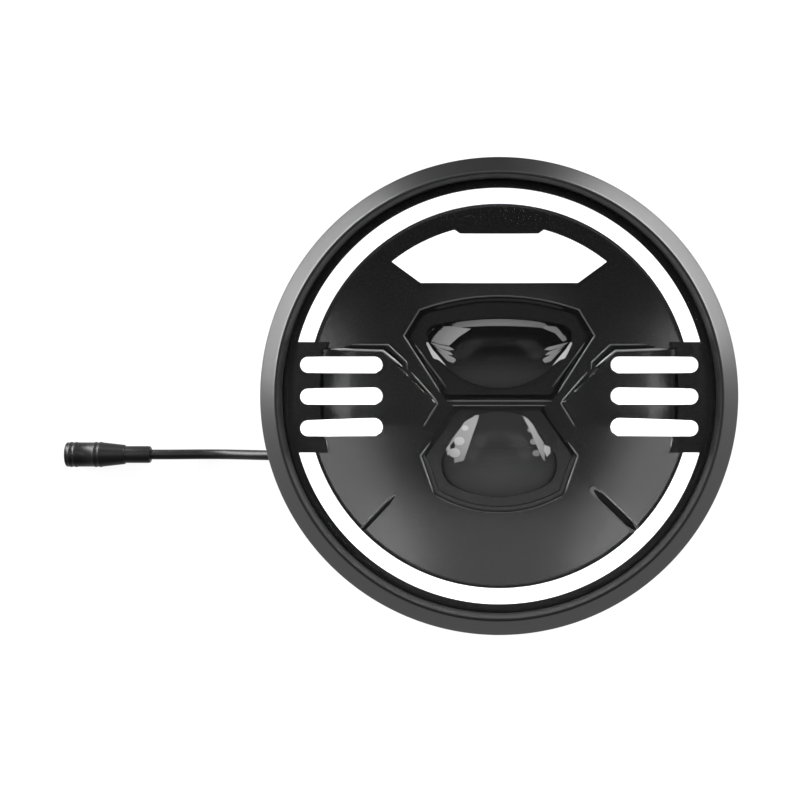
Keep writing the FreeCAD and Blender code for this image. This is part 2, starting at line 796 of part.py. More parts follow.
def projector_lens(wire, centre_y, half_height):
    """Clear lens: a flange under the fascia and a crowned body that fills the opening."""
    half_width = wire.BoundBox.XLength / 2 + lens_ball_border
    ball = Part.makeSphere(1.0)
    shape = FreeCAD.Matrix()
    rise = projector_lens_apex - projector_flange_bottom
    shape.scale(V(half_width * lens_ball_width, half_height * lens_ball_length, rise))
    ball = ball.transformGeometry(shape)
    ball.translate(V(0, centre_y, projector_flange_bottom))
    body = prism(wire, wide).common(ball)
    flange = prism(offset_wire(wire, projector_flange), projector_flange_height)
    flange.translate(V(0, 0, projector_flange_bottom))
    return body.fuse(flange).cut(disc(wide, 0, projector_flange_bottom)).removeSplitter()


def upper_projector_lens():
    middle = (upper_lens_top_y + upper_lens_bottom_y) / 2
    return projector_lens(upper_lens_wire(), middle, (upper_lens_top_y - upper_lens_bottom_y) / 2)


def lower_projector_lens():
    middle = (lower_lens_top[1] + lower_lens_bottom_y) / 2
    return projector_lens(lower_lens_wire(), middle, (lower_lens_top[1] - lower_lens_bottom_y) / 2)


def lens_holder(wire):
    """Black tube that carries a lens's flange and stands on the heat spreader."""
    outer = offset_wire(wire, projector_flange)
    inner = offset_wire(wire, projector_flange - holder_wall)
    height = projector_flange_bottom - spreader_top
    tube = prism(outer, height).cut(prism(inner, height))
    tube.translate(V(0, 0, spreader_top))
    return tube


# Light sources

def led_board(size):
    half, low, high = size
    return block(-half, half, low, high, spreader_top, board_top)


def led_chip(x, y, base, size):
    return block(x - size / 2, x + size / 2, y - size / 2, y + size / 2, base, base + led_height)


def led_row(size):
    middle = (size[1] + size[2]) / 2
    step = led_size + led_spacing
    first = -step * (projector_led_count - 1) / 2
    chips = [led_chip(first + k * step, middle, board_top, led_size) for k in range(projector_led_count)]
    return Part.makeCompound(chips)


def frustum(half_low, half_high, z0, z1, centre_y):
    wires = []
    for (hx, hy), z in ((half_low, z0), (half_high, z1)):
        corners = [V(sx * hx, centre_y + sy * hy, z) for sx, sy in ((-1, -1), (1, -1), (1, 1), (-1, 1))]
        wires.append(Part.makePolygon(corners + [corners[0]]))
    return Part.makeLoft(wires, True, True)


def reflector(size):
    """Metallised funnel round a row of chips; its mouth is no wider than its board."""
    centre_y = (size[1] + size[2]) / 2
    mouth = (min(reflector_mouth[0], size[0] + reflector_wall), reflector_mouth[1])
    outer = [tuple(v + reflector_wall for v in pair) for pair in (reflector_throat, mouth)]
    funnel = frustum(outer[0], outer[1], board_top, reflector_top, centre_y)
    return funnel.cut(frustum(reflector_throat, mouth, board_top, reflector_top, centre_y))


def cutoff_shield():
    low = upper_board[1]
    return block(-shield_half_width, shield_half_width, low, low + shield_thickness,
                 board_top, board_top + shield_height)


def halo_board_inner():
    return halo_inner - halo_board_inner_border


def halo_board():
    return ring(halo_board_inner(), halo_outer + halo_board_outer_border, ledge_height, halo_board_top)


def halo_leds():
    middle = (halo_inner + halo_outer) / 2
    chips = []
    for k in range(halo_led_count):
        chip = led_chip(middle, 0.0, halo_board_top, led_size)
        chip.rotate(V(0, 0, 0), V(0, 0, 1), (k + 0.5) * 360.0 / halo_led_count)
        chips.append(chip)
    return Part.makeCompound(chips)


def side_led_board(side):
    x0, x1 = sorted((side * side_board_near, side * side_board_far))
    bottom = side_board_top - board_thickness
    return block(x0, x1, -side_board_half, side_board_half, bottom, side_board_top)


def window_led_board():
    low = window_bottom_y - window_board_foot
    high = window_tip_y + window_board_head
    return block(-window_board_half, window_board_half, low, high,
                 window_board_top - board_thickness, window_board_top)


def side_leds():
    chips = []
    for x in [side * (side_board_near + inset) for side in (-1, 1) for inset in side_led_inset]:
        chips += [led_chip(x, bar_y(k), side_board_top, small_led_size) for k in range(bar_count)]
    return Part.makeCompound(chips)


def window_leds():
    step = 2 * window_board_half / (window_led_count + 1)
    y = window_bottom_y + window_led_rise
    chips = [led_chip((k + 1) * step - window_board_half, y, window_board_top, led_size)
             for k in range(window_led_count)]
    return Part.makeCompound(chips)


# Rear group

def housing_fins():
    """Parallel cooling fins that follow the back cone, with a bay for the bracket."""
    envelope = turned([
        (0, back_height - fin_depth),
        (back_radius, back_height - fin_depth),
        (cone_radius - fin_end_step, flange_bottom - fin_front_drop),
        (cone_radius - fin_end_step, flange_bottom),
        (0, flange_bottom),
    ])
    slabs = []
    for k in range(-fin_count_each_side, fin_count_each_side + 1):
        x = k * fin_pitch
        slabs.append(block(x - fin_thickness / 2, x + fin_thickness / 2, -wide, wide, 0, wide))
    fins = Part.makeCompound(slabs).common(envelope)
    bay = block(-bracket_bay_x, bracket_bay_x, -bracket_bay_y, bracket_bay_y, 0, back_height)
    vent_bay = disc(vent_radius + vent_bay_border, 0, back_height, 0, vent_y)
    return fins.cut(bay).cut(vent_bay)


def gland_boss():
    inner_x = inner_lead_x + gland_boss_reach
    return block(gland_face_x, inner_x, lead_y - gland_boss_half, lead_y + gland_boss_half,
                 gland_height - gland_boss_half, back_height + gland_boss_rise)


def rear_housing():
    outline = [
        (0, back_height),
        (back_radius, back_height),
        (cone_radius, flange_bottom - cone_foot),
        (cone_radius, flange_bottom),
        (flange_radius, flange_bottom),
        (flange_radius, flange_top),
        (spigot_radius, flange_top),
        (spigot_radius, spigot_top),
        (0, spigot_top),
    ]
    lug = rod_x(lug_radius, -lug_half_width, lug_half_width, 0, pivot_height)
    neck = block(-lug_half_width, lug_half_width, -lug_radius, lug_radius,
                 pivot_height, back_height + sink)
    shell = turned(outline).fuse([housing_fins(), lug, neck, gland_boss()])
    shell = shell.cut(cavity())
    post_bore = board_screw_radius + screw_clearance
    posts = [ring(post_bore, board_post_radius, floor_height - sink, driver_board_height, *place)
             for place in driver_screw_places()]
    shell = shell.fuse(posts)
    bush_hole = rod_x(pivot_radius + pivot_clearance + bush_wall + bush_press_gap,
                      -lug_half_width - 1, lug_half_width + 1, 0, pivot_height)
    thread_hole = rod_x(gland_thread_radius + screw_clearance, gland_face_x - 1,
                        gland_face_x + gland_thread_length + thread_runout, lead_y, gland_height)
    lead_room = lead_radius + lead_hole_gap
    lead_hole = rod_x(lead_room, gland_face_x, inner_lead_x + lead_room, lead_y, gland_height)
    riser = disc(lead_room, gland_height - lead_room, driver_top, inner_lead_x, lead_y)
    vent_hole = disc(vent_shank_radius + screw_clearance, 0, floor_height + 1, 0, vent_y)
    holes = [disc(rim_screw_radius + screw_clearance, 0, wide, *place) for place in rim_screw_places()]
    holes += [disc(spreader_screw_radius + screw_clearance, floor_height - spreader_screw_depth, wide, *place)
              for place in spreader_screw_places()]
    for cutter in [bush_hole, thread_hole, lead_hole, riser, vent_hole] + holes:
        shell = shell.cut(cutter)
    return shell.removeSplitter()


def thermal_pad():
    pad = block(-spreader_half_width + pad_inset, spreader_half_width - pad_inset,
                spreader_bottom_y + pad_inset, spreader_top_y - pad_inset, floor_height, spreader_bottom)
    return pierced(pad, spreader_screw_places(), spreader_screw_radius)


def heat_spreader():
    plate = block(-spreader_half_width, spreader_half_width, spreader_bottom_y, spreader_top_y,
                  spreader_bottom, spreader_top)
    corners = [edge for edge in plate.Edges if edge.BoundBox.ZLength > spreader_thickness / 2]
    return pierced(plate.makeFillet(spreader_corner, corners), spreader_screw_places(), spreader_screw_radius)


def pierced(shape, places, radius):
    holes = [disc(radius + screw_clearance, 0, wide, *place) for place in places]
    return shape.cut(Part.makeCompound(holes))


def breather_vent():
    cap = disc(vent_radius, back_height - vent_height, back_height, 0, vent_y)
    stem = disc(vent_shank_radius, back_height, floor_height + sink, 0, vent_y)
    return cap.fuse(stem)


# Driver electronics

def driver_board_plate():
    plate = block(driver_outer_x, driver_inner_x, driver_low_y, driver_high_y,
                  driver_board_height, driver_top)
    return pierced(plate, driver_screw_places(), board_screw_radius)


def board_inductor():
    return disc(inductor_radius, driver_top, driver_top + inductor_height, driver_middle_x, inductor_y)


def board_capacitors():
    cans = [disc(capacitor_radius, driver_top, driver_top + capacitor_height, driver_middle_x, y)
            for y in capacitor_places_y]
    return Part.makeCompound(cans)


def board_chip():
    return block(driver_middle_x - chip_half_x, driver_middle_x + chip_half_x,
                 chip_y - chip_half_y, chip_y + chip_half_y, driver_top, driver_top + chip_height)


def board_plug():
    """Terminal block on the board's edge; it reaches out over the lead's riser."""
    start = inner_lead_x - plug_border
    return block(start, start + plug_length, lead_y - plug_half_y, lead_y + plug_half_y,
                 driver_top, driver_top + plug_height)


# Screws

def rim_screw_places():
    step = 2 * math.pi / rim_screw_count
    angles = [(k + 0.5) * step for k in range(rim_screw_count)]
    return [(rim_screw_circle * math.cos(a), rim_screw_circle * math.sin(a)) for a in angles]


def spreader_screw_places():
    x = spreader_half_width - spreader_screw_inset
    low = spreader_bottom_y + spreader_screw_inset
    high = spreader_top_y - spreader_screw_drop
    return [(-x, low), (-x, high), (x, low), (x, high)]


def driver_screw_places():
    upper = (driver_middle_x, driver_high_y - board_screw_inset)
    lower = (driver_inner_x - board_screw_inset, driver_low_y + board_screw_inset)
    return [upper, lower]


def screws(places, radius, shank_end, seat):
    """Group of equal screws; the head lies on the far side of the seat from the shank's end."""
    up = 1 if shank_end < seat else -1
    bodies = []
    for place in places:
        head_end = seat + up * screw_head_height
        socket_end = head_end - up * screw_head_height * screw_socket_share
        head = disc(screw_head_radius, min(seat, head_end), max(seat, head_end), *place)
        shank = disc(radius, min(seat, shank_end), max(seat, shank_end), *place)
        low, high = sorted((socket_end, head_end))
        socket = disc(radius * screw_socket_share, low, high, *place)
        bodies.append(head.cut(socket).fuse(shank))
    return Part.makeCompound(bodies)


# Bracket and pivot

def mount_bracket():
    plate = block(-bracket_half_length, bracket_half_length, -bracket_half_width, bracket_half_width,
                  0, bracket_thickness)
    corners = [edge for edge in plate.Edges if edge.BoundBox.ZLength > bracket_thickness / 2]
    plate = plate.makeFillet(bracket_corner, corners)
    x0 = cheek_inner_x
    angle = math.radians(cheek_top_angle)
    side_y = cheek_top_radius * math.cos(angle)
    side_z = pivot_height + cheek_top_radius * math.sin(angle)
    right = V(x0, side_y, side_z)
    left = V(x0, -side_y, side_z)
    outline = [
        Part.LineSegment(V(x0, -cheek_foot, 0), V(x0, cheek_foot, 0)).toShape(),
        Part.LineSegment(V(x0, cheek_foot, 0), right).toShape(),
        Part.Arc(right, V(x0, 0, pivot_height + cheek_top_radius), left).toShape(),
        Part.LineSegment(left, V(x0, -cheek_foot, 0)).toShape(),
    ]
    cheek = Part.Face(Part.Wire(outline)).extrude(V(bracket_thickness, 0, 0))
    body = plate.fuse([cheek, cheek.mirror(V(0, 0, 0), V(1, 0, 0))]).removeSplitter()
    bends = [edge for edge in body.Edges
             if edge.BoundBox.YLength > cheek_foot
             and abs(edge.BoundBox.ZMin - bracket_thickness) < 0.01
             and abs(abs(edge.BoundBox.XMin) - cheek_outer_x) < 0.01]
    body = body.makeFillet(bracket_bend, bends)
    pivot_hole = rod_x(pivot_radius + pivot_clearance, -wide, wide, 0, pivot_height)
    holes = [disc(bracket_hole_radius, -1, wide, side * bracket_hole_x, 0) for side in (-1, 1)]
    return body.cut(Part.makeCompound([pivot_hole] + holes))


def pivot_bush():
    bush_radius = pivot_radius + pivot_clearance + bush_wall
    outer = rod_x(bush_radius, -lug_half_width, lug_half_width, 0, pivot_height)
    return outer.cut(rod_x(pivot_radius + pivot_clearance, -wide, wide, 0, pivot_height))


def pivot_bolt():
    head_start = cheek_outer_x + washer_thickness
    nut_end = head_start + nut_height
    shank = rod_x(pivot_radius, -nut_end - bolt_end, head_start, 0, pivot_height)
    head = hexagon_x(hex_across_flats, head_start, head_start + bolt_head_height, 0, pivot_height)
    return shank.fuse(head)


def pivot_nut():
    start = cheek_outer_x + washer_thickness
    nut = hexagon_x(hex_across_flats, -start - nut_height, -start, 0, pivot_height)
    return nut.cut(rod_x(pivot_radius + screw_clearance, -wide, wide, 0, pivot_height))


def washer_pair(outer, thickness, inner_x):
    hole = rod_x(pivot_radius + screw_clearance, -wide, wide, 0, pivot_height)
    right = rod_x(outer, inner_x, inner_x + thickness, 0, pivot_height).cut(hole)
    left = rod_x(outer, -inner_x - thickness, -inner_x, 0, pivot_height).cut(hole)
    return Part.makeCompound([left, right])


# Lead and connector

lead_route = (
    V(lead_exit_x - exit_gap, lead_y, gland_height),
    V(-77.5, lead_y, gland_height),
    V(-90.0, lead_y, 11.2),
    V(-100.5, lead_y, 4.9),
    V(-108.0, lead_y, 2.0),
    V(-116.0, lead_y, 2.0),
    V(-124.5, lead_y, connector_ridge_radius),
    V(connector_neck_x, lead_y, connector_ridge_radius),
)
inner_route = (
    V(lead_exit_x, lead_y, gland_height),
    V(inner_lead_x, lead_y, gland_height),
    V(inner_lead_x, lead_y, driver_top),
)


def routed_tube(name, route, radius, share):
    """Round tube along straight runs joined by tangent arcs; prints its radii and its volume."""
    path = []
    at = route[0]
    radii = []
    for before, corner, after in zip(route, route[1:], route[2:]):
        back = (before - corner).normalize()
        on = (after - corner).normalize()
        shorter = min((corner - before).Length, (after - corner).Length)
        turn = math.pi - back.getAngle(on)
        arc_radius = share * shorter / math.tan(turn / 2)
        radii.append(round(arc_radius, 1))
        trim = arc_radius * math.tan(turn / 2)
        start = corner + back * trim
        end = corner + on * trim
        bisector = (back + on).normalize()
        middle = corner + bisector * (arc_radius / math.cos(turn / 2) - arc_radius)
        path.append(Part.LineSegment(at, start).toShape())
        path.append(Part.Arc(start, middle, end).toShape())
        at = end
    path.append(Part.LineSegment(at, route[-1]).toShape())
    spine = Part.Wire(path)
    first = (route[1] - route[0]).normalize()
    section = Part.Wire(Part.makeCircle(radius, route[0], first))
    tube = spine.makePipeShell([section], True, False)
    expected = math.pi * radius ** 2 * spine.Length
    lowest = tube.optimalBoundingBox(False, False).ZMin
    print(name, "radii", radii, "length", round(spine.Length, 1))
    print(name, "volume ratio", round(tube.Volume / expected, 4), "lowest", round(lowest, 2))
    return tube


def cable_gland():
    nut = hexagon_x(gland_hex, gland_face_x - gland_hex_length, gland_face_x, lead_y, gland_height)
    thread_end = gland_face_x + gland_thread_length
    thread = rod_x(gland_thread_radius, gland_face_x, thread_end, lead_y, gland_height)
    bore = rod_x(lead_radius + lead_bore_gap, -wide, wide, lead_y, gland_height)
    return nut.fuse(thread).cut(bore)


def turned_x(profile, x_start, y, z):
    """Solid of revolution about a line along X, from (distance along X, radius) pairs."""
    corners = [V(x_start + s, y, z + r) for s, r in profile]
    corners = [V(x_start + profile[0][0], y, z)] + corners + [V(x_start + profile[-1][0], y, z)]
    return revolved(Part.makePolygon(corners + [corners[0]]), V(0, y, z), V(1, 0, 0))


def strain_relief():
    """Tapered rubber boot with shallow bending grooves."""
    step = relief_length / relief_rings
    profile = []
    for k in range(relief_rings):
        raised_end = (k + relief_ring_share) * step
        ends = ((k * step, 0), (raised_end, 0), (raised_end, relief_groove), ((k + 1) * step, relief_groove))
        for along, cut in ends:
            radius = relief_small_radius + (relief_big_radius - relief_small_radius) * along / relief_length
            profile.append((along, radius - cut))
    boot = turned_x(profile, lead_exit_x, lead_y, gland_height)
    return boot.cut(rod_x(lead_radius + lead_bore_gap, -wide, wide, lead_y, gland_height))


def connector_rod(radius, start, length):
    """Rod on the connector's axis."""
    return rod_x(radius, start, start + length, lead_y, connector_ridge_radius)


def connector_body():
    """Overmoulded shell: ridged sleeve, taper and neck, open at the mouth."""
    body = connector_body_radius
    profile = [(0.0, body - connector_mouth_round), (connector_mouth_round, body)]
    for start, end in connector_ridges:
        profile += [(start, body), (start, connector_ridge_radius)]
        profile += [(end, connector_ridge_radius), (end, body)]
    profile.pop()
    profile += [
        (connector_taper_end, connector_taper_radius),
        (connector_taper_end, connector_neck_radius),
        (connector_length - connector_chamfer, connector_neck_radius),
        (connector_length, connector_neck_radius - connector_chamfer / 2),
    ]
    shell = turned_x(profile, connector_mouth_x, lead_y, connector_ridge_radius)
    bore = connector_rod(connector_bore, connector_mouth_x - 1, connector_bore_depth + 1)
    seat = connector_rod(connector_seat_radius, connector_seat_x, connector_seal_height + insert_length)
    return shell.cut(bore).cut(seat)


def connector_seal():
    radius = connector_seat_radius - connector_fit
    outer = connector_rod(radius, connector_seat_x, connector_seal_height)
    return outer.cut(connector_rod(radius - connector_seal_width, connector_seat_x, connector_seal_height))


def contact_places():
    angles = [math.pi / 2 + k * 2 * math.pi / contact_count for k in range(contact_count)]
    return [(lead_y + contact_circle * math.cos(a), connector_ridge_radius + contact_circle * math.sin(a))
            for a in angles]


def connector_insert():
    start = connector_seat_x + connector_seal_height
    core = connector_rod(connector_seat_radius - connector_fit, start, insert_length)
    holes = [rod_x(contact_radius + connector_fit, start, start + insert_length - insert_floor, *place)
             for place in contact_places()]
    return core.cut(Part.makeCompound(holes))


def connector_contacts():
    start = connector_seat_x + connector_seal_height + contact_inset
    end = connector_seat_x + connector_seal_height + insert_length - insert_floor
    tubes = []
    for place in contact_places():
        socket = rod_x(contact_radius - contact_wall, start, start + contact_socket_depth, *place)
        tubes.append(rod_x(contact_radius, start, end, *place).cut(socket))
    return Part.makeCompound(tubes)


def build():
    nodes = {
        "bezel_ring": bezel_ring(),
        "front_lens": front_lens(),
        "lens_seal": lens_seal(),
        "fascia": fascia(),
        "halo_guide_upper": halo_guide(True),
        "halo_guide_lower": halo_guide(False),
        "side_bars_left": side_bars(-1),
        "side_bars_right": side_bars(1),
        "top_window": top_window(),
        "upper_projector_lens": upper_projector_lens(),
        "lower_projector_lens": lower_projector_lens(),
        "upper_lens_holder": lens_holder(upper_lens_wire()),
        "lower_lens_holder": lens_holder(lower_lens_wire()),
        "upper_reflector": reflector(upper_board),
        "lower_reflector": reflector(lower_board),
        "cutoff_shield": cutoff_shield(),
        "low_beam_board": led_board(upper_board),
        "low_beam_leds": led_row(upper_board),
        "high_beam_board": led_board(lower_board),
        "high_beam_leds": led_row(lower_board),
        "halo_board": halo_board(),
        "halo_leds": halo_leds(),
        "side_board_left": side_led_board(-1),
        "side_board_right": side_led_board(1),
        "side_leds": side_leds(),
        "window_board": window_led_board(),
        "window_leds": window_leds(),
        "thermal_pad": thermal_pad(),
        "heat_spreader": heat_spreader(),
        "rear_housing": rear_housing(),
        "breather_vent": breather_vent(),
        "driver_board": driver_board_plate(),
        "board_inductor": board_inductor(),
        "board_capacitors": board_capacitors(),
        "board_chip": board_chip(),
        "board_plug": board_plug(),
        "inner_lead": routed_tube("inner_lead", inner_route, lead_radius, inner_bend_share),
        "cable_gland": cable_gland(),
        "strain_relief": strain_relief(),
        "rim_screws": screws(rim_screw_places(), rim_screw_radius,
                             flange_top + rim_screw_length - screw_end_gap, flange_bottom),
        "spreader_screws": screws(spreader_screw_places(), spreader_screw_radius,
                                  floor_height - spreader_screw_depth + seat_gap, spreader_top),
        "board_screws": screws(driver_screw_places(), board_screw_radius, floor_height + seat_gap, driver_top),
        "pivot_bush": pivot_bush(),
        "mount_bracket": mount_bracket(),
        "pivot_bolt": pivot_bolt(),
        "pivot_nut": pivot_nut(),
        "pivot_washers": washer_pair(washer_radius, washer_thickness, cheek_outer_x),
        "friction_washers": washer_pair(friction_washer_radius, friction_washer_thickness,
                                        lug_half_width + friction_gap),
        "lead_cord": routed_tube("lead_cord", lead_route, lead_radius, arc_share),
        "connector_body": connector_body(),
        "connector_seal": connector_seal(),
        "connector_insert": connector_insert(),
        "connector_contacts": connector_contacts(),
    }
    os.makedirs("parts", exist_ok=True)
    for name, shape in nodes.items():
        box = shape.BoundBox
        print(name, "solids", len(shape.Solids), "valid", shape.isValid(), "volume", round(shape.Volume, 1),
              "z", round(box.ZMin, 2), round(box.ZMax, 2))
        shape.exportStep("parts/" + name + ".step")


build()
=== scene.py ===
# %% [markdown]
# # A round bicycle headlight
# The construction of this lamp is already settled: its pieces, their sizes and the way it tilts come
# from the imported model, which is loaded here as a fixed frame. This lesson gives the lamp its looks.
# Each step first says what the piece is on the real lamp, how it could be made, and why one way was
# chosen.

# %% Load the frame
import json
import math

import bmesh
import bpy
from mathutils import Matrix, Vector


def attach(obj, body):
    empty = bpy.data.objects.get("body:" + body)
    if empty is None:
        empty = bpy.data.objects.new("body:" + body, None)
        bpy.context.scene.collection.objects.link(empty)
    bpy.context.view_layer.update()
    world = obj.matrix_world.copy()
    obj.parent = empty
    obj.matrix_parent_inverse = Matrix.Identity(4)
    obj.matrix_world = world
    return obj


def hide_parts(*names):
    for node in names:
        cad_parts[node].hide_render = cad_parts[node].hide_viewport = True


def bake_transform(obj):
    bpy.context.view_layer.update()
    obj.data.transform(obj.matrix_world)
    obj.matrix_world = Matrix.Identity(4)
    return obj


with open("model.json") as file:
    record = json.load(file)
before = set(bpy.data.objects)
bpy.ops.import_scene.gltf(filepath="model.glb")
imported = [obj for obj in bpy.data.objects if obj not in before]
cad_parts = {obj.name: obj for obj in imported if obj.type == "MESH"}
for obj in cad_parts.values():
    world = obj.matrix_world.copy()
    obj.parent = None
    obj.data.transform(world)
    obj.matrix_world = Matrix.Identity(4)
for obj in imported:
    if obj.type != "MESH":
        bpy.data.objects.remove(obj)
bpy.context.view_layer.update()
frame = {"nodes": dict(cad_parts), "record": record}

# %% [markdown]
# ## The camera
# The photograph looks straight at the lamp's front from about 60 cm. The halo and the bezel are
# concentric in it although they lie at different heights, so the lens stood right over the lamp's
# centre, and the lamp was then framed off to the right. A lens shift frames it that way without
# turning the camera.

# %% Camera
MM = 0.001
camera_height = 0.6005
camera_data = bpy.data.cameras.new("front_camera")
camera_data.lens = 70.0
camera_data.sensor_width = 36.0
camera_data.shift_x = -0.124
camera_data.shift_y = -0.005
camera = bpy.data.objects.new("front_camera", camera_data)
camera.location = (0.0, 0.0, camera_height)
bpy.context.scene.collection.objects.link(camera)
bpy.context.scene.camera = camera
bpy.context.scene.view_settings.view_transform = "Standard"
print("camera height:", camera_height)

# %% [markdown]
# ## Pieces from operators
# Most pieces here are either turned on a lathe or pressed from a flat outline. Two small helpers cover
# both: one spins a profile about the lamp's axis or the connector's axis, and one turns an outline
# into a closed block. Working in millimetres keeps the numbers readable, so the last step scales each
# mesh to metres.


# %% Helpers for meshes
def finished(name, mesh, body, smooth=30.0):
    """Object from a mesh in millimetres: scaled to metres, normals outwards, riding on a body."""
    bmesh.ops.remove_doubles(mesh, verts=mesh.verts, dist=1e-4)
    bmesh.ops.recalc_face_normals(mesh, faces=mesh.faces)
    bmesh.ops.scale(mesh, vec=(MM, MM, MM), verts=mesh.verts)
    data = bpy.data.meshes.new(name)
    mesh.to_mesh(data)
    mesh.free()
    piece = bpy.data.objects.new(name, data)
    bpy.context.scene.collection.objects.link(piece)
    smooth_by_angle(piece, smooth)
    if body:
        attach(piece, body)
    return piece


def smooth_by_angle(piece, degrees):
    """Smooth shading that stops at edges sharper than the angle."""
    data = piece.data
    data.shade_smooth()
    data.set_sharp_from_angle(angle=math.radians(degrees))


def arc_points(start, through, end, steps):
    """Points on the circle through three points, without the last one."""
    a, b, c = (Vector((p[0], p[1], 0.0)) for p in (start, through, end))
    ab, ac = b - a, c - a
    cross = ab.cross(ac).z
    offset = Vector((ac.y * ab.length_squared - ab.y * ac.length_squared,
                     ab.x * ac.length_squared - ac.x * ab.length_squared, 0.0)) / (2.0 * cross)
    centre = a + offset
    first = math.atan2(a.y - centre.y, a.x - centre.x)
    last = math.atan2(c.y - centre.y, c.x - centre.x)
    turn = (last - first) % (2.0 * math.pi)
    if cross < 0:
        turn -= 2.0 * math.pi
    angles = [first + turn * k / steps for k in range(steps)]
    radius = (a - centre).length
    return [(centre.x + radius * math.cos(t), centre.y + radius * math.sin(t)) for t in angles]


def line_points(corners, spacing, closed=True):
    """Points along straight sides, no further apart than the spacing."""
    points = []
    ends = corners[1:] + corners[:1] if closed else corners[1:]
    for p, q in zip(corners, ends):
        count = max(1, math.ceil(math.dist(p, q) / spacing))
        for k in range(count):
            points.append((p[0] + (q[0] - p[0]) * k / count, p[1] + (q[1] - p[1]) * k / count))
    return points if closed else points + [corners[-1]]


def height_at(level, x, y):
    """A level is a number or a function of the place."""
    return level(x, y) if callable(level) else level


def prism(mesh, outline, bottom, top, top_outline=None):
    """Closed block over an outline; its top may follow another outline with as many points."""
    low = [mesh.verts.new((x, y, height_at(bottom, x, y))) for x, y in outline]
    sides = [mesh.edges.new(pair) for pair in zip(low, low[1:] + low[:1])]
    base = bmesh.ops.contextual_create(mesh, geom=sides)["faces"][0]
    raised = bmesh.ops.extrude_face_region(mesh, geom=[base])["geom"]
    cap = [g for g in raised if isinstance(g, bmesh.types.BMFace)][0]
    number = {vert: k for k, vert in enumerate(low)}
    for vert in cap.verts:
        foot = [edge.other_vert(vert) for edge in vert.link_edges if edge.other_vert(vert) in number][0]
        x, y = (top_outline or outline)[number[foot]]
        vert.co = (x, y, height_at(top, x, y))
    return cap


def grown(outline, distance):
    """Outline moved outwards by a distance, corner by corner."""
    area = sum(a[0] * b[1] - b[0] * a[1] for a, b in zip(outline, outline[1:] + outline[:1]))
    side = distance if area > 0 else -distance
    moved = []
    for a, b, c in zip(outline[-1:] + outline[:-1], outline, outline[1:] + outline[:1]):
        first = Vector((b[1] - a[1], a[0] - b[0])).normalized()
        last = Vector((c[1] - b[1], b[0] - c[0])).normalized()
        middle = (first + last).normalized()
        step = middle * side / middle.dot(first)
        moved.append((b[0] + step.x, b[1] + step.y))
    return moved


def turned(mesh, profile, steps, axis="Z", centre=(0.0, 0.0, 0.0), closed=False):
    """Full spin of a profile of (distance along the axis, radius) pairs; a closed profile makes a ring."""
    origin = Vector(centre)
    if axis == "Z":
        spots = [origin + Vector((radius, 0.0, along)) for along, radius in profile]
        about = (0.0, 0.0, 1.0)
    else:
        spots = [origin + Vector((along, 0.0, radius)) for along, radius in profile]
        about = (1.0, 0.0, 0.0)
    verts = [mesh.verts.new(spot) for spot in spots]
    pairs = list(zip(verts, verts[1:])) + ([(verts[-1], verts[0])] if closed else [])
    edges = [mesh.edges.new(pair) for pair in pairs]
    bmesh.ops.spin(mesh, geom=verts + edges, cent=origin, axis=about, angle=2.0 * math.pi,
                   steps=steps, use_merge=True, use_duplicate=False)


def mirrored(pairs):
    """The same points on the other side of the lamp, in the opposite order."""
    return [(-x, y) for x, y in reversed(pairs)]


print("helpers ready")

# %% [markdown]
# ## Shader sums as plain sums
# A material is a tree of nodes. Wrapping a socket in a small class lets a sum such as `1 - mask` add
# its Math nodes by itself, so that a finish reads like the sentence that describes it. Every other
# node comes from one method that takes its type, its settings and its sockets.


# %% Helpers for materials
class Value:
    """A socket whose sums and products add Math nodes."""

    def __init__(self, finish, socket):
        self.finish = finish
        self.socket = socket

    def math(self, operation, *values):
        return self.finish.node("ShaderNodeMath", {"operation": operation}, dict(enumerate(values)))

    def __add__(self, other):
        return self.math("ADD", self, other)

    def __sub__(self, other):
        return self.math("SUBTRACT", self, other)

    def __rsub__(self, other):
        return self.math("SUBTRACT", other, self)

    def __mul__(self, other):
        return self.math("MULTIPLY", self, other)

    __radd__ = __add__
    __rmul__ = __mul__

    def between(self, low, high):
        """0 at low, 1 at high, smooth in between."""
        return self.finish.node("ShaderNodeMapRange", {"interpolation_type": "SMOOTHSTEP"},
                                {"Value": self, "From Min": low, "From Max": high})


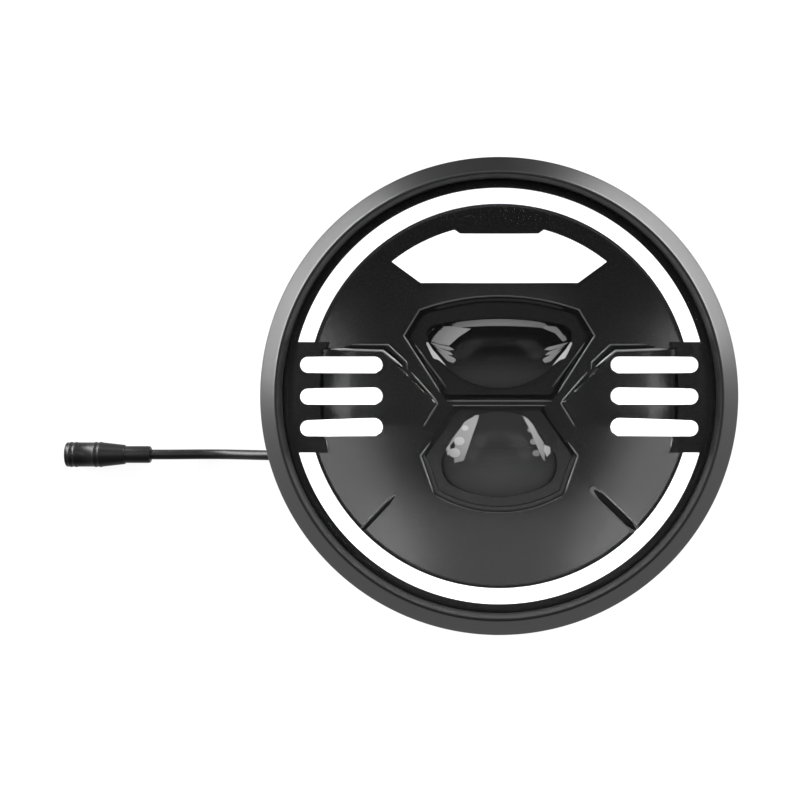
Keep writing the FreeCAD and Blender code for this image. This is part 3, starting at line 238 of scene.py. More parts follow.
class Finish:
    """One material: its nodes are made by node(), and surface() sets the shader."""

    def __init__(self, name):
        self.material = bpy.data.materials.new(name)
        self.material.use_nodes = True
        self.tree = self.material.node_tree
        self.shader = self.tree.nodes["Principled BSDF"]

    def node(self, kind, settings=None, sockets=None, output=0):
        """A node with its settings, then the values or links of its sockets."""
        made = self.tree.nodes.new(kind)
        for key, setting in (settings or {}).items():
            setattr(made, key, setting)
        for key, value in (sockets or {}).items():
            self.join(made.inputs[key], value)
        return Value(self, made.outputs[output])

    def join(self, socket, value):
        """Links a Value to a socket, or sets the socket to a plain value."""
        if isinstance(value, Value):
            self.tree.links.new(value.socket, socket)
        else:
            socket.default_value = value

    def place(self):
        """Object coordinates, and their three parts."""
        where = self.node("ShaderNodeTexCoord", output=3)
        parts = [self.node("ShaderNodeSeparateXYZ", sockets={0: where}, output=k) for k in range(3)]
        return where, parts

    def noise(self, scale, detail=2.0, where=None):
        """Fine random pattern, 0 to 1."""
        sockets = {"Scale": scale, "Detail": detail}
        sockets["Vector"] = where or self.place()[0]
        return self.node("ShaderNodeTexNoise", sockets=sockets)

    def mix(self, factor, first, second):
        """Colour between two colours."""
        sockets = {0: factor, 6: first, 7: second}
        return self.node("ShaderNodeMix", {"data_type": "RGBA"}, sockets, output=2)

    def bump(self, height, strength, distance):
        """Normal roughened by a height; the distance is in metres."""
        sockets = {"Height": height, "Strength": strength, "Distance": distance}
        return self.node("ShaderNodeBump", sockets=sockets)

    def surface(self, **sockets):
        """Sets or links sockets of the shader and gives the finished material."""
        for key, value in sockets.items():
            self.join(self.shader.inputs[key.replace("_", " ")], value)
        return self.material


def grey(level):
    return (level, level, level, 1.0)


def dress(piece, material):
    """Gives a piece its one material."""
    piece.data.materials.clear()
    piece.data.materials.append(material)


print("shader helpers ready")

# %% [markdown]
# ## The connector's shell
# The lead ends in a round overmoulded shell with two pairs of thin raised rings, a taper and a neck.
# The rings could be separate hoops, but they are moulded with the shell, so they are bumps in one
# turned profile. The profile runs from the neck, over the rings to the mouth, and back inside to the
# bottom of the socket.


# %% Connector shell
connector_mouth = -165.5
lead_axis = (-22.4, 4.85)
body_radius = 4.66
ring_starts = (12.5, 10.6, 3.1, 1.2)
ring = [(1.2, 0.0), (1.05, 0.09), (0.8, 0.17), (0.6, 0.19), (0.4, 0.17), (0.15, 0.09), (0.0, 0.0)]
neck = [(32.1, 0.0), (32.1, 2.85), (31.9, 3.1), (31.3, 3.25), (22.45, 3.25), (22.3, 3.4), (22.3, 3.6),
        (22.1, 3.72)]
mouth = [(0.25, body_radius), (0.0, 4.4), (0.0, 3.55), (0.15, 3.4)]
socket = [(6.2, 3.4), (6.2, 3.0), (16.05, 3.0), (16.05, 0.0)]
rings = [(start + along, body_radius + rise) for start in ring_starts for along, rise in ring]
connector_profile = neck + rings + mouth + socket
connector_mesh = bmesh.new()
turned(connector_mesh, connector_profile, 72, "X", (connector_mouth, *lead_axis))
connector = finished("connector_shell", connector_mesh, "bracket", 32.0)
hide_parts("connector_body")
print("connector faces:", len(connector.data.polygons))

# %% [markdown]
# ## The lead
# The lead is 3.8 mm PVC cable. It leaves the gland behind the housing, sags to the bench and ends in
# its moulded connector. A cable is one smooth curve, so a NURBS spline through the route's points
# gives its line, and a round section makes the jacket. The lamp tilts and the connector stays; the
# jacket is made a plain mesh.

# %% Lead
lead_radius = 1.9 * MM
lead_route = [
    (-66.3, 17.0), (-77.5, 17.0), (-90.0, 11.2), (-100.5, 4.9),
    (-108.0, 2.0), (-116.0, 2.0), (-124.5, 4.85), (-133.4, 4.85),
]
lead_y = -22.4 * MM


def lead_curve(name, radius):
    """The lead's spline, bare or with its round section."""
    data = bpy.data.curves.new(name, "CURVE")
    data.dimensions = "3D"
    data.resolution_u = 8
    data.bevel_depth = radius
    data.bevel_resolution = 6
    data.use_fill_caps = True
    spline = data.splines.new("NURBS")
    spline.points.add(len(lead_route) - 1)
    for point, (x, z) in zip(spline.points, lead_route):
        point.co = (x * MM, lead_y, z * MM, 1.0)
    spline.order_u = 3
    spline.use_endpoint_u = True
    made = bpy.data.objects.new(name, data)
    bpy.context.scene.collection.objects.link(made)
    return made


def mesh_of(curve):
    """The curve as a mesh; the curve itself is removed."""
    made = bpy.data.meshes.new_from_object(curve.evaluated_get(bpy.context.evaluated_depsgraph_get()))
    bpy.data.objects.remove(curve)
    return made


bare = mesh_of(lead_curve("lead_line", 0.0))
lead_mesh = mesh_of(lead_curve("lead_jacket", lead_radius))
lead = bpy.data.objects.new("lead", lead_mesh)
bpy.context.scene.collection.objects.link(lead)
smooth_by_angle(lead, 40.0)
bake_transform(lead)
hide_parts("lead_cord")

# %% [markdown]
# ## The bezel ring
# The bezel is a turned ring: an upright wall outside, a cone of about 45 degrees on its face and a
# thin crest round the opening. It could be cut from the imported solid, but its cone is what catches the
# studio light, so it is spun again from its profile with small rounded corners and enough steps for a
# smooth highlight. Its inner wall is duller than its cone, so that wall is a thin ring of its own,
# which can have its own finish.


# %% Bezel ring
def rounded(corners, steps=5):
    """Closed profile whose corners (along, across, radius) are rounded."""
    points = []
    for before, corner, after in zip(corners[-1:] + corners[:-1], corners, corners[1:] + corners[:1]):
        at = Vector(corner[:2])
        radius = corner[2]
        if radius == 0:
            points.append(tuple(at))
            continue
        back = (Vector(before[:2]) - at).normalized()
        on = (Vector(after[:2]) - at).normalized()
        half = back.angle(on) / 2.0
        centre = at + (back + on).normalized() * radius / math.sin(half)
        first = at + back * radius / math.tan(half) - centre
        last = at + on * radius / math.tan(half) - centre
        turn = first.angle(last)
        for k in range(steps + 1):
            share = k / steps
            spot = first * math.sin((1 - share) * turn) + last * math.sin(share * turn)
            points.append(tuple(centre + spot / math.sin(turn)))
    return points


bezel_steps = 256
bezel_profile = rounded([
    (50.5, 78.6, 0.0), (50.5, 82.5, 0.3), (64.15, 82.5, 0.8), (64.9, 81.815, 0.0),
    (69.9, 77.248, 0.0), (70.4, 76.79, 0.25),
    (70.4, 76.0, 0.0), (59.5, 76.0, 0.0), (59.5, 78.6, 0.0),
])
bezel_mesh = bmesh.new()
turned(bezel_mesh, bezel_profile, bezel_steps, closed=True)
bezel = finished("bezel", bezel_mesh, "lamp", 40.0)
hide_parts("bezel_ring")
print("bezel faces:", len(bezel.data.polygons))

# %% Inner wall of the bezel
lip_profile = rounded([
    (59.5, 75.8, 0.0), (59.5, 76.1, 0.0), (70.5, 76.7, 0.2), (70.5, 75.8, 0.25),
])
lip_mesh = bmesh.new()
turned(lip_mesh, lip_profile, bezel_steps, closed=True)
lip = finished("bezel_lip", lip_mesh, "lamp", 40.0)
print("lip faces:", len(lip.data.polygons))

# %% [markdown]
# ## The fascia
# The gloss black fascia is one moulding: a shallow dish with a flat border, two bevelled pockets for
# the lenses, a lifted wing on each side and flat blocks for the outer ends of the light bars. It could
# be sculpted in one mesh, but the openings are easier to keep true if the shell is spun first, the
# raised parts are joined to it and the openings are cut out last. The outlines below are the right
# half of each shape, in millimetres from the axis.

# %% Outlines of the fascia
face_height = 56.0
dish_edge = 66.9
dish_depth = 10.0
dish_ball = 228.78
shell_wall = 2.0
bevel_reach = 1.8
upper_rim = [(28.3, 30.5), (33.9, 21.3), (19.4, -1.3)]
lower_rim = [(15.7, -3.3), (28.0, -21.3), (23.2, -35.0)]
upper_pocket = (upper_rim, 35.5, 43.5)
lower_pocket = (lower_rim, -41.5, 45.6)
wing_corners = [
    (-62.0, 16.9), (-41.2, 16.5), (-22.9, -1.3), (-22.0, -2.7),
    (-28.1, -12.8), (-40.0, -18.9), (-62.0, -18.9),
]
wing_bevel, wing_drop, wing_root = 0.9, 0.75, 1.3
block_low, block_high = -19.8, 18.9
block_foot, block_shoulder, block_end = 61.5, 62.9, 67.2
halo_inner, halo_outer = 67.3, 72.9
bar_pitch, bar_half, bar_end = 11.1, 2.85, 66.85


def dish(x, y):
    """Height of the dish, a shallow ball cap."""
    return face_height - dish_depth + dish_ball - math.sqrt(dish_ball ** 2 - x * x - y * y)


def band(inner, outer, low, high, side, count=24):
    """Outline of a stretch of a flat ring between two levels, on the right (1) or the left (-1)."""
    def bow(radius, start, end):
        first, last = math.asin(start / radius), math.asin(end / radius)
        angles = [first + (last - first) * k / count for k in range(count + 1)]
        return [(side * radius * math.cos(a), radius * math.sin(a)) for a in angles]

    return bow(inner, low, high) + bow(outer, high, low)


def halo_arc(inner, outer, level, spacing=1.2):
    """Outline of the halo's arc above a positive level or below a negative one."""
    way = math.copysign(1.0, level)

    def bow(radius, back):
        start = math.asin(abs(level) / radius)
        count = math.ceil((math.pi - 2 * start) * radius / spacing)
        angles = [start + (math.pi - 2 * start) * k / count for k in range(count + 1)]
        if back:
            angles.reverse()
        return [(radius * math.cos(a), way * radius * math.sin(a)) for a in angles]

    return bow(inner, False) + bow(outer, True)


def pocket_outline(right, arc_y, spacing=1.0):
    """Whole outline of a pocket from its right half; the side across the axis is an arc."""
    ends = right if arc_y > 0 else right[::-1]
    start, end = (-ends[0][0], ends[0][1]), ends[0]
    steps = math.ceil(2 * abs(start[0]) / spacing)
    arc = arc_points(start, (0.0, arc_y), end, steps)
    return arc + line_points(list(ends) + mirrored(ends), 60.0, closed=False)[:-1]


def bar_outline(index, side):
    """One light bar: round outside, taller and slanted at its inner end."""
    y = -0.2 + (index - 1) * bar_pitch
    lift = (0.7, 0.4, 0.2)[index]
    inner = 39.4 if side > 0 else 41.2
    turn = bar_half + lift / 2
    x, mid = inner + turn, y + lift / 2
    inner_angles = [math.radians(-38.0 + 128.0 * k / 16) for k in range(17)]
    outer_angles = [math.pi * k / 16 for k in range(17)]
    top = [(x - turn * math.cos(a), mid + turn * math.sin(a)) for a in inner_angles]
    end = [(bar_end + bar_half * math.sin(a), y + bar_half * math.cos(a)) for a in outer_angles]
    return [(side * u, v) for u, v in top + end + [(inner + 2.5, y - bar_half)]]


def window_outline():
    """Straight foot, pointed sides, curved top with a shallow notch."""
    tip, crown, notch = (37.85, 47.2), (15.7, 58.43), (13.8, 57.13)
    lean = (math.atan2(crown[1], crown[0]) + math.atan2(tip[1], tip[0])) / 2
    bulge = (60.5 * math.cos(lean), 60.5 * math.sin(lean))
    right = [(27.85, 40.0)] + arc_points(tip, bulge, crown, 24) + [crown, notch]
    return right + mirrored(right)


def upper_lens_outline(steps=28):
    """Four arcs: a deep one below, a flat one above and two short ones at the corners."""
    side, corner, bulge = (25.7, 20.5), (23.6, 25.2), (25.7, 22.85)
    left = [(-x, y) for x, y in (side, bulge, corner)]
    return (arc_points(left[0], (0.0, 2.9), side, steps) + arc_points(side, bulge, corner, 5)
            + arc_points(corner, (0.0, 27.8), left[2], steps) + arc_points(left[2], left[1], left[0], 5))


def lower_lens_outline(steps=20):
    """Straight flanks between a short arc above and a wide one below."""
    top, side, low, bulge = (8.2, -6.4), (19.7, -20.5), (17.2, -31.5), (20.2, -26.8)
    left = [(-x, y) for x, y in (top, side, low)]
    flank = line_points([top, side], 1.5, closed=False)[:-1]
    return (flank + arc_points(side, bulge, low, 8) + arc_points(low, (0.0, -35.8), left[2], steps)
            + arc_points(left[2], (-bulge[0], bulge[1]), left[1], 8) + mirrored(flank[1:])
            + arc_points(left[0], (0.0, -5.4), top, 12))


lens_outlines = [upper_lens_outline(), lower_lens_outline()]
print("points in the lens outlines:", [len(outline) for outline in lens_outlines])


# %% Joining and cutting
def cut(name, base, tool, operation):
    """Boolean of two closed meshes in millimetres, given back as a new bmesh."""
    made = []
    for mesh in (base, tool):
        bmesh.ops.remove_doubles(mesh, verts=mesh.verts, dist=1e-4)
        bmesh.ops.recalc_face_normals(mesh, faces=mesh.faces)
        data = bpy.data.meshes.new(name)
        mesh.to_mesh(data)
        mesh.free()
        piece = bpy.data.objects.new(name, data)
        bpy.context.scene.collection.objects.link(piece)
        made.append(piece)
    step = made[0].modifiers.new("step", "BOOLEAN")
    step.object = made[1]
    step.operation = operation
    step.solver = "MANIFOLD"
    whole = made[0].evaluated_get(bpy.context.evaluated_depsgraph_get())
    result = bmesh.new()
    result.from_mesh(whole.to_mesh())
    for piece in made:
        data = piece.data
        bpy.data.objects.remove(piece)
        bpy.data.meshes.remove(data)
    return result


def block(outline, low, high, top_outline=None):
    """One upright block, to be joined on or cut away."""
    mesh = bmesh.new()
    prism(mesh, outline, low, high, top_outline)
    return mesh


print("join and cut ready")

# %% [markdown]
# The raised parts come first. The dish, its flat border and the skirt behind it are one spin. The
# wings start as a fine grid that is trimmed to their outline and laid over the dish, because a plain
# block has too few points to follow it. The side blocks and the tubs behind the pockets are upright
# blocks.


# %% Shell, wings and blocks
def shell_mesh():
    """Dish, flat border, bead and skirt, spun in one piece."""
    front = [(dish(r, 0.0), r) for r in (dish_edge * k / 54 for k in range(55))]
    border = [(face_height, 70.0), (face_height, 74.2)]
    bead = [(57.3, 74.35), (57.3, 75.45), (57.15, 75.6)]
    under = face_height - shell_wall
    skirt = [(50.0, 75.6), (50.0, 74.0), (under, 74.0), (under, 70.0)]
    rim = border + bead + skirt
    back = [(dish(r, 0.0) - shell_wall, r) for r in (dish_edge * k / 12 for k in range(12, -1, -1))]
    mesh = bmesh.new()
    turned(mesh, front + rim + back, 288)
    return mesh


def wing_level(x, y):
    """Height of a wing's plate."""
    rise = min(1.0, max(0.0, (math.hypot(x, y) - 52.0) / 10.0))
    share = min(1.0, max(0.0, (y + 17.0) / 14.0))
    share = share * share * (3.0 - 2.0 * share)
    return dish(x, y + 6.0 * share) - 0.2 + (0.7 + 0.9 * rise ** 2) * share


def wing(side):
    """Lifted plate with a bevelled edge that rises a little towards the flat block."""
    mesh = bmesh.new()
    bmesh.ops.create_grid(mesh, x_segments=40, y_segments=34, size=21.0)
    bmesh.ops.translate(mesh, vec=(-41.5, -1.0, 0.0), verts=mesh.verts)
    for ring, clear in ((wing_corners, True), (grown(wing_corners, -wing_bevel), False)):
        for a, b in zip(ring, ring[1:] + ring[:1]):
            everything = mesh.verts[:] + mesh.edges[:] + mesh.faces[:]
            outwards = (a[1] - b[1], b[0] - a[0], 0.0)
            bmesh.ops.bisect_plane(mesh, geom=everything, plane_co=(*a, 0.0), plane_no=outwards,
                                   clear_outer=clear, dist=1e-5)
    edge = {v for e in mesh.edges if e.is_boundary for v in e.verts}
    for vert in mesh.verts:
        vert.co.z = wing_level(vert.co.x, vert.co.y) - (wing_drop if vert in edge else 0.0)
    walls = bmesh.ops.extrude_face_region(mesh, geom=mesh.faces[:])["geom"]
    for vert in [g for g in walls if isinstance(g, bmesh.types.BMVert)]:
        vert.co.z = dish(vert.co.x, vert.co.y) - wing_root
    if side > 0:
        bmesh.ops.scale(mesh, vec=(-1.0, 1.0, 1.0), verts=mesh.verts)
    return mesh


def raised_parts():
    """Side blocks with a sloped inner face, the tubs behind the two pockets, and the wings."""
    parts = []
    for side in (-1, 1):
        foot = band(block_foot, block_end, block_low, block_high, side)
        top = band(block_shoulder, block_end, block_low, block_high, side)
        parts.append(block(foot, 52.5, face_height, top))
    for rim, arc_y, floor_height in (upper_pocket, lower_pocket):
        tub = grown(pocket_outline(rim, arc_y), 0.3)
        parts.append(block(tub, 41.7, lambda x, y: dish(x, y) - 1.0))
    return parts + [wing(-1), wing(1)]


fascia_mesh = shell_mesh()
for part in raised_parts():
    fascia_mesh = cut("fascia", fascia_mesh, part, "UNION")
print("volume before the openings in cubic mm:", round(fascia_mesh.calc_volume(signed=True)))

# %% [markdown]
# Then the openings are cut. A pocket's bevel is symmetrical about the dish: as far as it leans in
# below the rim, it leans out above it, so that its rim stays where the outline is although the dish is
# curved.


# %% Pockets, grooves and openings
def pocket(rim, arc_y, floor_height):
    """Bevelled space over a lens whose rim lies on the dish."""
    outline = pocket_outline(rim, arc_y)
    foot, top = grown(outline, -bevel_reach), grown(outline, bevel_reach)
    return block(foot, floor_height, lambda x, y: 2.0 * dish(x, y) - floor_height, top)


def groove(start, end, width):
    """Round-ended slot that follows the dish, open a little wider at its top."""
    lean = math.atan2(end[1] - start[1], end[0] - start[0])
    slot = []
    for point, first in ((end, lean - math.pi / 2), (start, lean + math.pi / 2)):
        for angle in (first + math.pi * k / 8 for k in range(9)):
            slot.append((point[0] + width / 2 * math.cos(angle), point[1] + width / 2 * math.sin(angle)))
    return block(slot, lambda x, y: dish(x, y) - 1.3, over_fascia, grown(slot, 0.6))


under_dish, over_fascia = 40.0, 62.0
lens_gap = 0.15
sill = [(29.2, 37.8), (27.7, 40.1), (-27.7, 40.1), (-29.2, 37.8)]
openings = [pocket(*upper_pocket), pocket(*lower_pocket)]
for level in (block_high, block_low):
    openings.append(block(halo_arc(halo_inner, halo_outer, level), 48.0, over_fascia))
for side in (-1, 1):
    for index in range(3):
        openings.append(block(bar_outline(index, side), under_dish, over_fascia))
openings.append(block(window_outline(), under_dish, over_fascia))
openings.append(block(sill, lambda x, y: dish(x, y) + 0.05 - 0.43 * (y - 37.8), over_fascia))
openings.append(groove((-47.2, -46.2), (-36.8, -34.8), 1.2))
openings.append(groove((47.2, -46.4), (33.0, -33.0), 2.8))
for outline in lens_outlines:
    openings.append(block(grown(outline, lens_gap), under_dish - 2.0, over_fascia))
for opening in openings:
    fascia_mesh = cut("fascia", fascia_mesh, opening, "DIFFERENCE")
print("volume of the fascia in cubic mm:", round(fascia_mesh.calc_volume(signed=True)))
fascia = finished("front_fascia", fascia_mesh, "lamp", 24.0)
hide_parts("fascia")
print("fascia faces:", len(fascia.data.polygons))

# %% [markdown]
# ## Fine ridges, painted highlights and painted shade
# The mould leaves a fine rounded ridge along the wings, round both pockets and on the bar between
# them. Each one is thinner than a millimetre; its round back catches a lamp wherever that stands, and
# its grey colour, lighter than the black fascia, adds a painted highlight. They could be bevels of the
# fascia's edges, but a bevel would follow every cut, so they are laid on as thin half-buried tubes
# along the same outlines, which also lets them start and end where the real ones do. Wider grey
# tubes fill the pockets' bevels half way down as painted light over the bevels' shade, and matt black
# ones are painted shade beside the wing ridges and in the grooves.


# %% Tubes along a line
def tubes(name, lines, radius):
    """Thin round tubes along lines of points (x, y, z) whose ends taper off."""
    data = bpy.data.curves.new(name, "CURVE")
    data.dimensions = "3D"
    data.bevel_depth = radius * MM
    data.bevel_resolution = 2
    data.use_fill_caps = True
    for line in lines:
        spline = data.splines.new("POLY")
        spline.points.add(len(line) - 1)
        for k, (point, spot) in enumerate(zip(spline.points, line)):
            point.co = (spot[0] * MM, spot[1] * MM, spot[2] * MM, 1.0)
            point.radius = min(1.0, 0.25 + 0.25 * min(k, len(line) - 1 - k))
    curve = bpy.data.objects.new(name, data)
    bpy.context.scene.collection.objects.link(curve)
    made = bpy.data.objects.new(name, mesh_of(curve))
    bpy.context.scene.collection.objects.link(made)
    smooth_by_angle(made, 60.0)
    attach(made, "lamp")
    return made


def laid(corners, level, lift=0.0):
    """Points along straight sides at the height of a surface, with the mirrored line on the left."""
    line = [(x, y, level(x, y) + lift) for x, y in line_points(corners, 1.0, closed=False)]
    return [line, [(-x, y, z) for x, y, z in line]]


def on_dish(start, end, lift):
    """Points along one straight line on the dish."""
    return [(x, y, dish(x, y) + lift) for x, y in line_points([start, end], 1.0, closed=False)]


def stretch(outline, keep):
    """The stretch of a closed outline where keep(x, y) is true."""
    dense = line_points(outline, 1.0)
    start = next(k for k in range(len(dense)) if keep(*dense[k]) and not keep(*dense[k - 1]))
    return [point for point in dense[start:] + dense[:start] if keep(*point)]


def rim_line(pocket_shape, keep):
    """A stretch of a pocket's rim."""
    outline = pocket_outline(*pocket_shape[:2])
    return [(x, y, dish(x, y) - 0.05) for x, y in stretch(outline, keep)]


def bevel_line(pocket_shape, keep):
    """The same stretch half way down the pocket's bevel."""
    middle = grown(pocket_outline(*pocket_shape[:2]), 0.05 - bevel_reach / 2.0)
    floor_height = pocket_shape[2]
    return [(x, y, (dish(x, y) + floor_height) / 2.0 - 0.1) for x, y in stretch(middle, keep)]


print("tube helpers ready")

# %% Ridges with painted highlights, painted shade lines and painted light on the bevels
# Real fine ridges; their grey finish, lighter than the fascia, adds a painted highlight.
fine = [rim_line(upper_pocket, lambda x, y: y > 0.5)]
fine += laid([(24.4, -16.3), (28.0, -21.3), (23.3, -34.6)], dish, -0.05)
fine += laid([(52.0, 18.1), (39.3, 18.1), (32.9, 12.0), (32.6, 9.4)], dish)
fine += laid([(31.2, 8.4), (22.9, -1.2), (22.0, -2.7), (28.1, -12.8)], wing_level, -0.25)
fine += laid([(32.2, 20.9), (19.0, 3.2)], lambda x, y: upper_pocket[2], 0.25)
fine += [[(x, y, dish(x, y) - lift) for x in range(-19, 20)] for y, lift in ((-1.8, 0.08), (-3.4, 0.25))]
fine += [on_dish((-48.6, -46.4), (-37.8, -34.9), -0.1), on_dish((35.0, -32.6), (48.6, -45.6), -0.1)]
faint = [rim_line(lower_pocket, lambda x, y: y < -34.9)]
broad = laid([(59.0, 16.4), (41.2, 15.9), (34.3, 10.4)], wing_level, -0.25)
# Matt black tubes beside the wing ridges and in the grooves are painted shade.
shade_lines = laid([(54.5, 17.3), (40.4, 17.3), (33.8, 11.3)], dish, 0.1)
shade_lines += [on_dish((-48.0, -47.3), (-36.9, -35.5), 0.1)]
slot_shade_line = [on_dish((33.6, -33.3), (47.6, -46.7), -0.3)]
# Grey tubes half way down the pockets' bevels are painted light over the bevels' shade.
lower_bevel_painted_light = [bevel_line(lower_pocket, lambda x, y: y < -20.5)]
upper_bevel_painted_light = [bevel_line(upper_pocket, lambda x, y: y > 31.2)]
ridges = [
    ("ridge_black", tubes("fine_ridges", fine, 0.32)),
    ("ridge_bright", tubes("broad_ridges", broad, 0.5)),
    ("hollow_black", tubes("painted_shade_lines", shade_lines, 0.62)),
    ("hollow_black", tubes("painted_shade_slot", slot_shade_line, 1.15)),
    ("ridge_faint", tubes("faint_ridges", faint, 0.3)),
    ("bevel_soft", tubes("lower_bevel_painted_light", lower_bevel_painted_light, 1.25)),
    ("bevel_dark", tubes("upper_bevel_painted_light", upper_bevel_painted_light, 0.85)),
]
print("lines laid:", len(fine) + len(faint) + len(broad) + len(shade_lines))

# %% [markdown]
# ## Painted reflections on the lenses
# Both projector lenses show pale patches at their ends, painted reflections of the bright parts
# around them, while the clear dome looks black. A texture could show them, but their edges are crisp,
# so each patch is a thin pale plate cut from its outline, divided, and laid on the crown of its lens.
# The dome is half of an ellipsoid, so one formula gives its height over any point.


# %% Plates on a dome
dome_seat, dome_rise = 39.9, 10.1
plate_thickness = 0.3


def crown_of(centre_y, half_width, half_height):
    """Height of a lens's dome over a point."""
    def crown(x, y):
        out = (x / half_width) ** 2 + ((y - centre_y) / half_height) ** 2
        return dome_seat + dome_rise * math.sqrt(max(0.02, 1.0 - out))

    return crown


def painted_reflections(name, outlines, crown, lift):
    """Thin pale plates over outlines that follow the crown of a lens: painted reflections."""
    mesh = bmesh.new()
    for outline in outlines:
        verts = [mesh.verts.new((x, y, 0.0)) for x, y in outline]
        edges = [mesh.edges.new(pair) for pair in zip(verts, verts[1:] + verts[:1])]
        bmesh.ops.contextual_create(mesh, geom=edges)
    bmesh.ops.triangulate(mesh, faces=mesh.faces[:])
    bmesh.ops.subdivide_edges(mesh, edges=mesh.edges[:], cuts=7, use_grid_fill=True)
    for vert in mesh.verts:
        vert.co.z = crown(vert.co.x, vert.co.y) + lift
    low = bmesh.ops.extrude_face_region(mesh, geom=mesh.faces[:])["geom"]
    for vert in [g for g in low if isinstance(g, bmesh.types.BMVert)]:
        vert.co.z -= plate_thickness
    return finished(name, mesh, "lamp", 20.0)


def ellipse(x, y, radius, squash=0.8, steps=14):
    """Outline of a round lobe seen at a slant."""
    angles = [2.0 * math.pi * k / steps for k in range(steps)]
    return [(x + radius * math.cos(a), y + radius * squash * math.sin(a)) for a in angles]


upper_crown = crown_of(15.35, 28.6, 15.9)
lower_crown = crown_of(-21.1, 22.8, 18.8)
print("dome heights:", upper_crown(0.0, 15.35), lower_crown(0.0, -21.1))

# %% Painted reflections on the upper lens
upper_band = arc_points((-21.5, 25.2), (0.0, 27.4), (21.5, 25.2), 24) + [(21.5, 25.2), (16.5, 24.0)]
upper_band += arc_points((14.0, 24.4), (0.0, 24.9), (-14.0, 24.4), 20) + [(-14.0, 24.4), (-17.0, 23.2)]
upper_left = [(-26.1, 21.2), (-25.6, 23.3), (-22.4, 24.8), (-17.0, 24.9), (-10.0, 23.9), (-14.5, 20.9),
              (-17.8, 17.9), (-21.7, 18.6), (-24.5, 19.6), (-26.1, 20.4)]
upper_right = [(15.9, 25.1), (20.2, 24.8), (23.1, 24.0), (24.9, 21.9), (24.7, 20.2), (22.7, 19.4),
               (21.6, 20.6), (19.9, 22.4), (15.9, 24.0)]
stripes = [[(-25.1, 19.3), (-17.4, 17.4), (-16.0, 16.4), (-18.1, 16.2), (-22.0, 17.4)],
           [(-23.4, 17.9), (-17.4, 15.6), (-16.3, 14.5), (-19.2, 14.8)],
           [(-22.4, 16.7), (-16.0, 13.5), (-15.3, 12.8), (-16.3, 11.7), (-18.4, 12.4)]]
slivers = [[(-26.5, 19.5), (-25.5, 19.2), (-23.8, 16.7), (-21.0, 13.4), (-18.9, 10.8), (-21.6, 12.8),
            (-23.5, 13.5), (-24.5, 15.3)]]
both = stripes + [mirrored(stripe) for stripe in stripes]
lit = slivers + [mirrored(sliver) for sliver in slivers]
reflection_pieces = [
    ("facet_dim", painted_reflections("upper_reflection_band", [upper_band], upper_crown, 0.05)),
    ("facet_mid", painted_reflections("upper_reflections", [upper_left, upper_right] + both, upper_crown, 0.09)),
    ("facet_bright", painted_reflections("upper_reflections_bright", lit, upper_crown, 0.12)),
]
print("facets of the upper lens:", 3 + len(both) + len(lit))

# %% Painted reflections on the lower lens
lower_left = [(-7.2, -6.8), (-7.8, -9.2), (-9.6, -14.2), (-11.0, -18.5), (-12.6, -22.9), (-18.7, -24.6),
              (-18.6, -21.7), (-19.0, -19.9), (-18.6, -18.3), (-17.8, -17.0), (-16.5, -14.9), (-13.8, -11.4),
              (-11.7, -8.2), (-9.6, -6.9)]
lower_right = [(8.3, -7.0), (10.3, -8.2), (12.1, -10.3), (13.8, -13.5), (16.1, -17.0), (18.1, -18.1),
               (18.5, -20.2), (17.0, -22.0), (17.5, -24.3), (16.0, -23.1), (14.9, -21.3), (13.8, -18.8),
               (12.1, -14.9), (10.6, -11.4)]
lobes = [ellipse(-12.1, -11.4, 1.2), ellipse(-14.2, -16.0, 1.9), ellipse(-15.9, -20.2, 2.1),
         [(-19.1, -19.8), (-18.8, -18.4), (-17.6, -17.5), (-17.4, -19.0), (-18.2, -21.3)],
         [(16.1, -17.3), (18.1, -18.3), (18.3, -20.2), (17.0, -21.7), (15.9, -19.4)]]
dim_lobes = [ellipse(11.0, -12.1, 1.0), ellipse(12.2, -16.2, 1.3), ellipse(13.2, -20.3, 1.4)]
reflection_pieces += [
    ("facet_side", painted_reflections("lower_reflections", [lower_left, lower_right], lower_crown, 0.1)),
    ("facet_low", painted_reflections("lower_reflection_lobes_dim", dim_lobes, lower_crown, 0.07)),
    ("facet_light", painted_reflections("lower_reflection_lobes", lobes, lower_crown, 0.16)),
]
print("facets of the lower lens:", 2 + len(lobes) + len(dim_lobes))

# %% [markdown]
# ## Finishes
# Nearly every piece of this lamp is a plain moulded, cast or plated part, so one recipe covers them: a
# colour with a faint drift, a roughness with the same drift, and a fine grain in the normal. Only the
# numbers differ. Glossy black plastic is almost pure black, and what the eye sees of it is mirrored
# light, so its colour stays very low.


# %% The plain recipe
drift = 0.12
polished = 0.000001
fine_grain = 0.000002


def plain(name, colour, roughness, metallic=0.0, grain=600.0, depth=0.00001, specular=0.5):
    """Moulded, cast or plated surface with a faint drift of colour and roughness and a fine grain."""
    finish = Finish(name)
    where = finish.place()[0]
    cloud = finish.noise(45.0, 3.0, where)
    lighter = tuple(min(1.0, c * (1.0 + drift)) for c in colour) + (1.0,)
    darker = tuple(c * (1.0 - drift) for c in colour) + (1.0,)
    fine = finish.noise(grain, 2.0, where)
    return finish.surface(
        Base_Color=finish.mix(cloud, darker, lighter),
        Roughness=cloud * 0.08 + (roughness - 0.04),
        Metallic=metallic,
        Specular_IOR_Level=specular,
        Normal=finish.bump(fine, 0.4, depth),
    )


print("plain recipe ready")

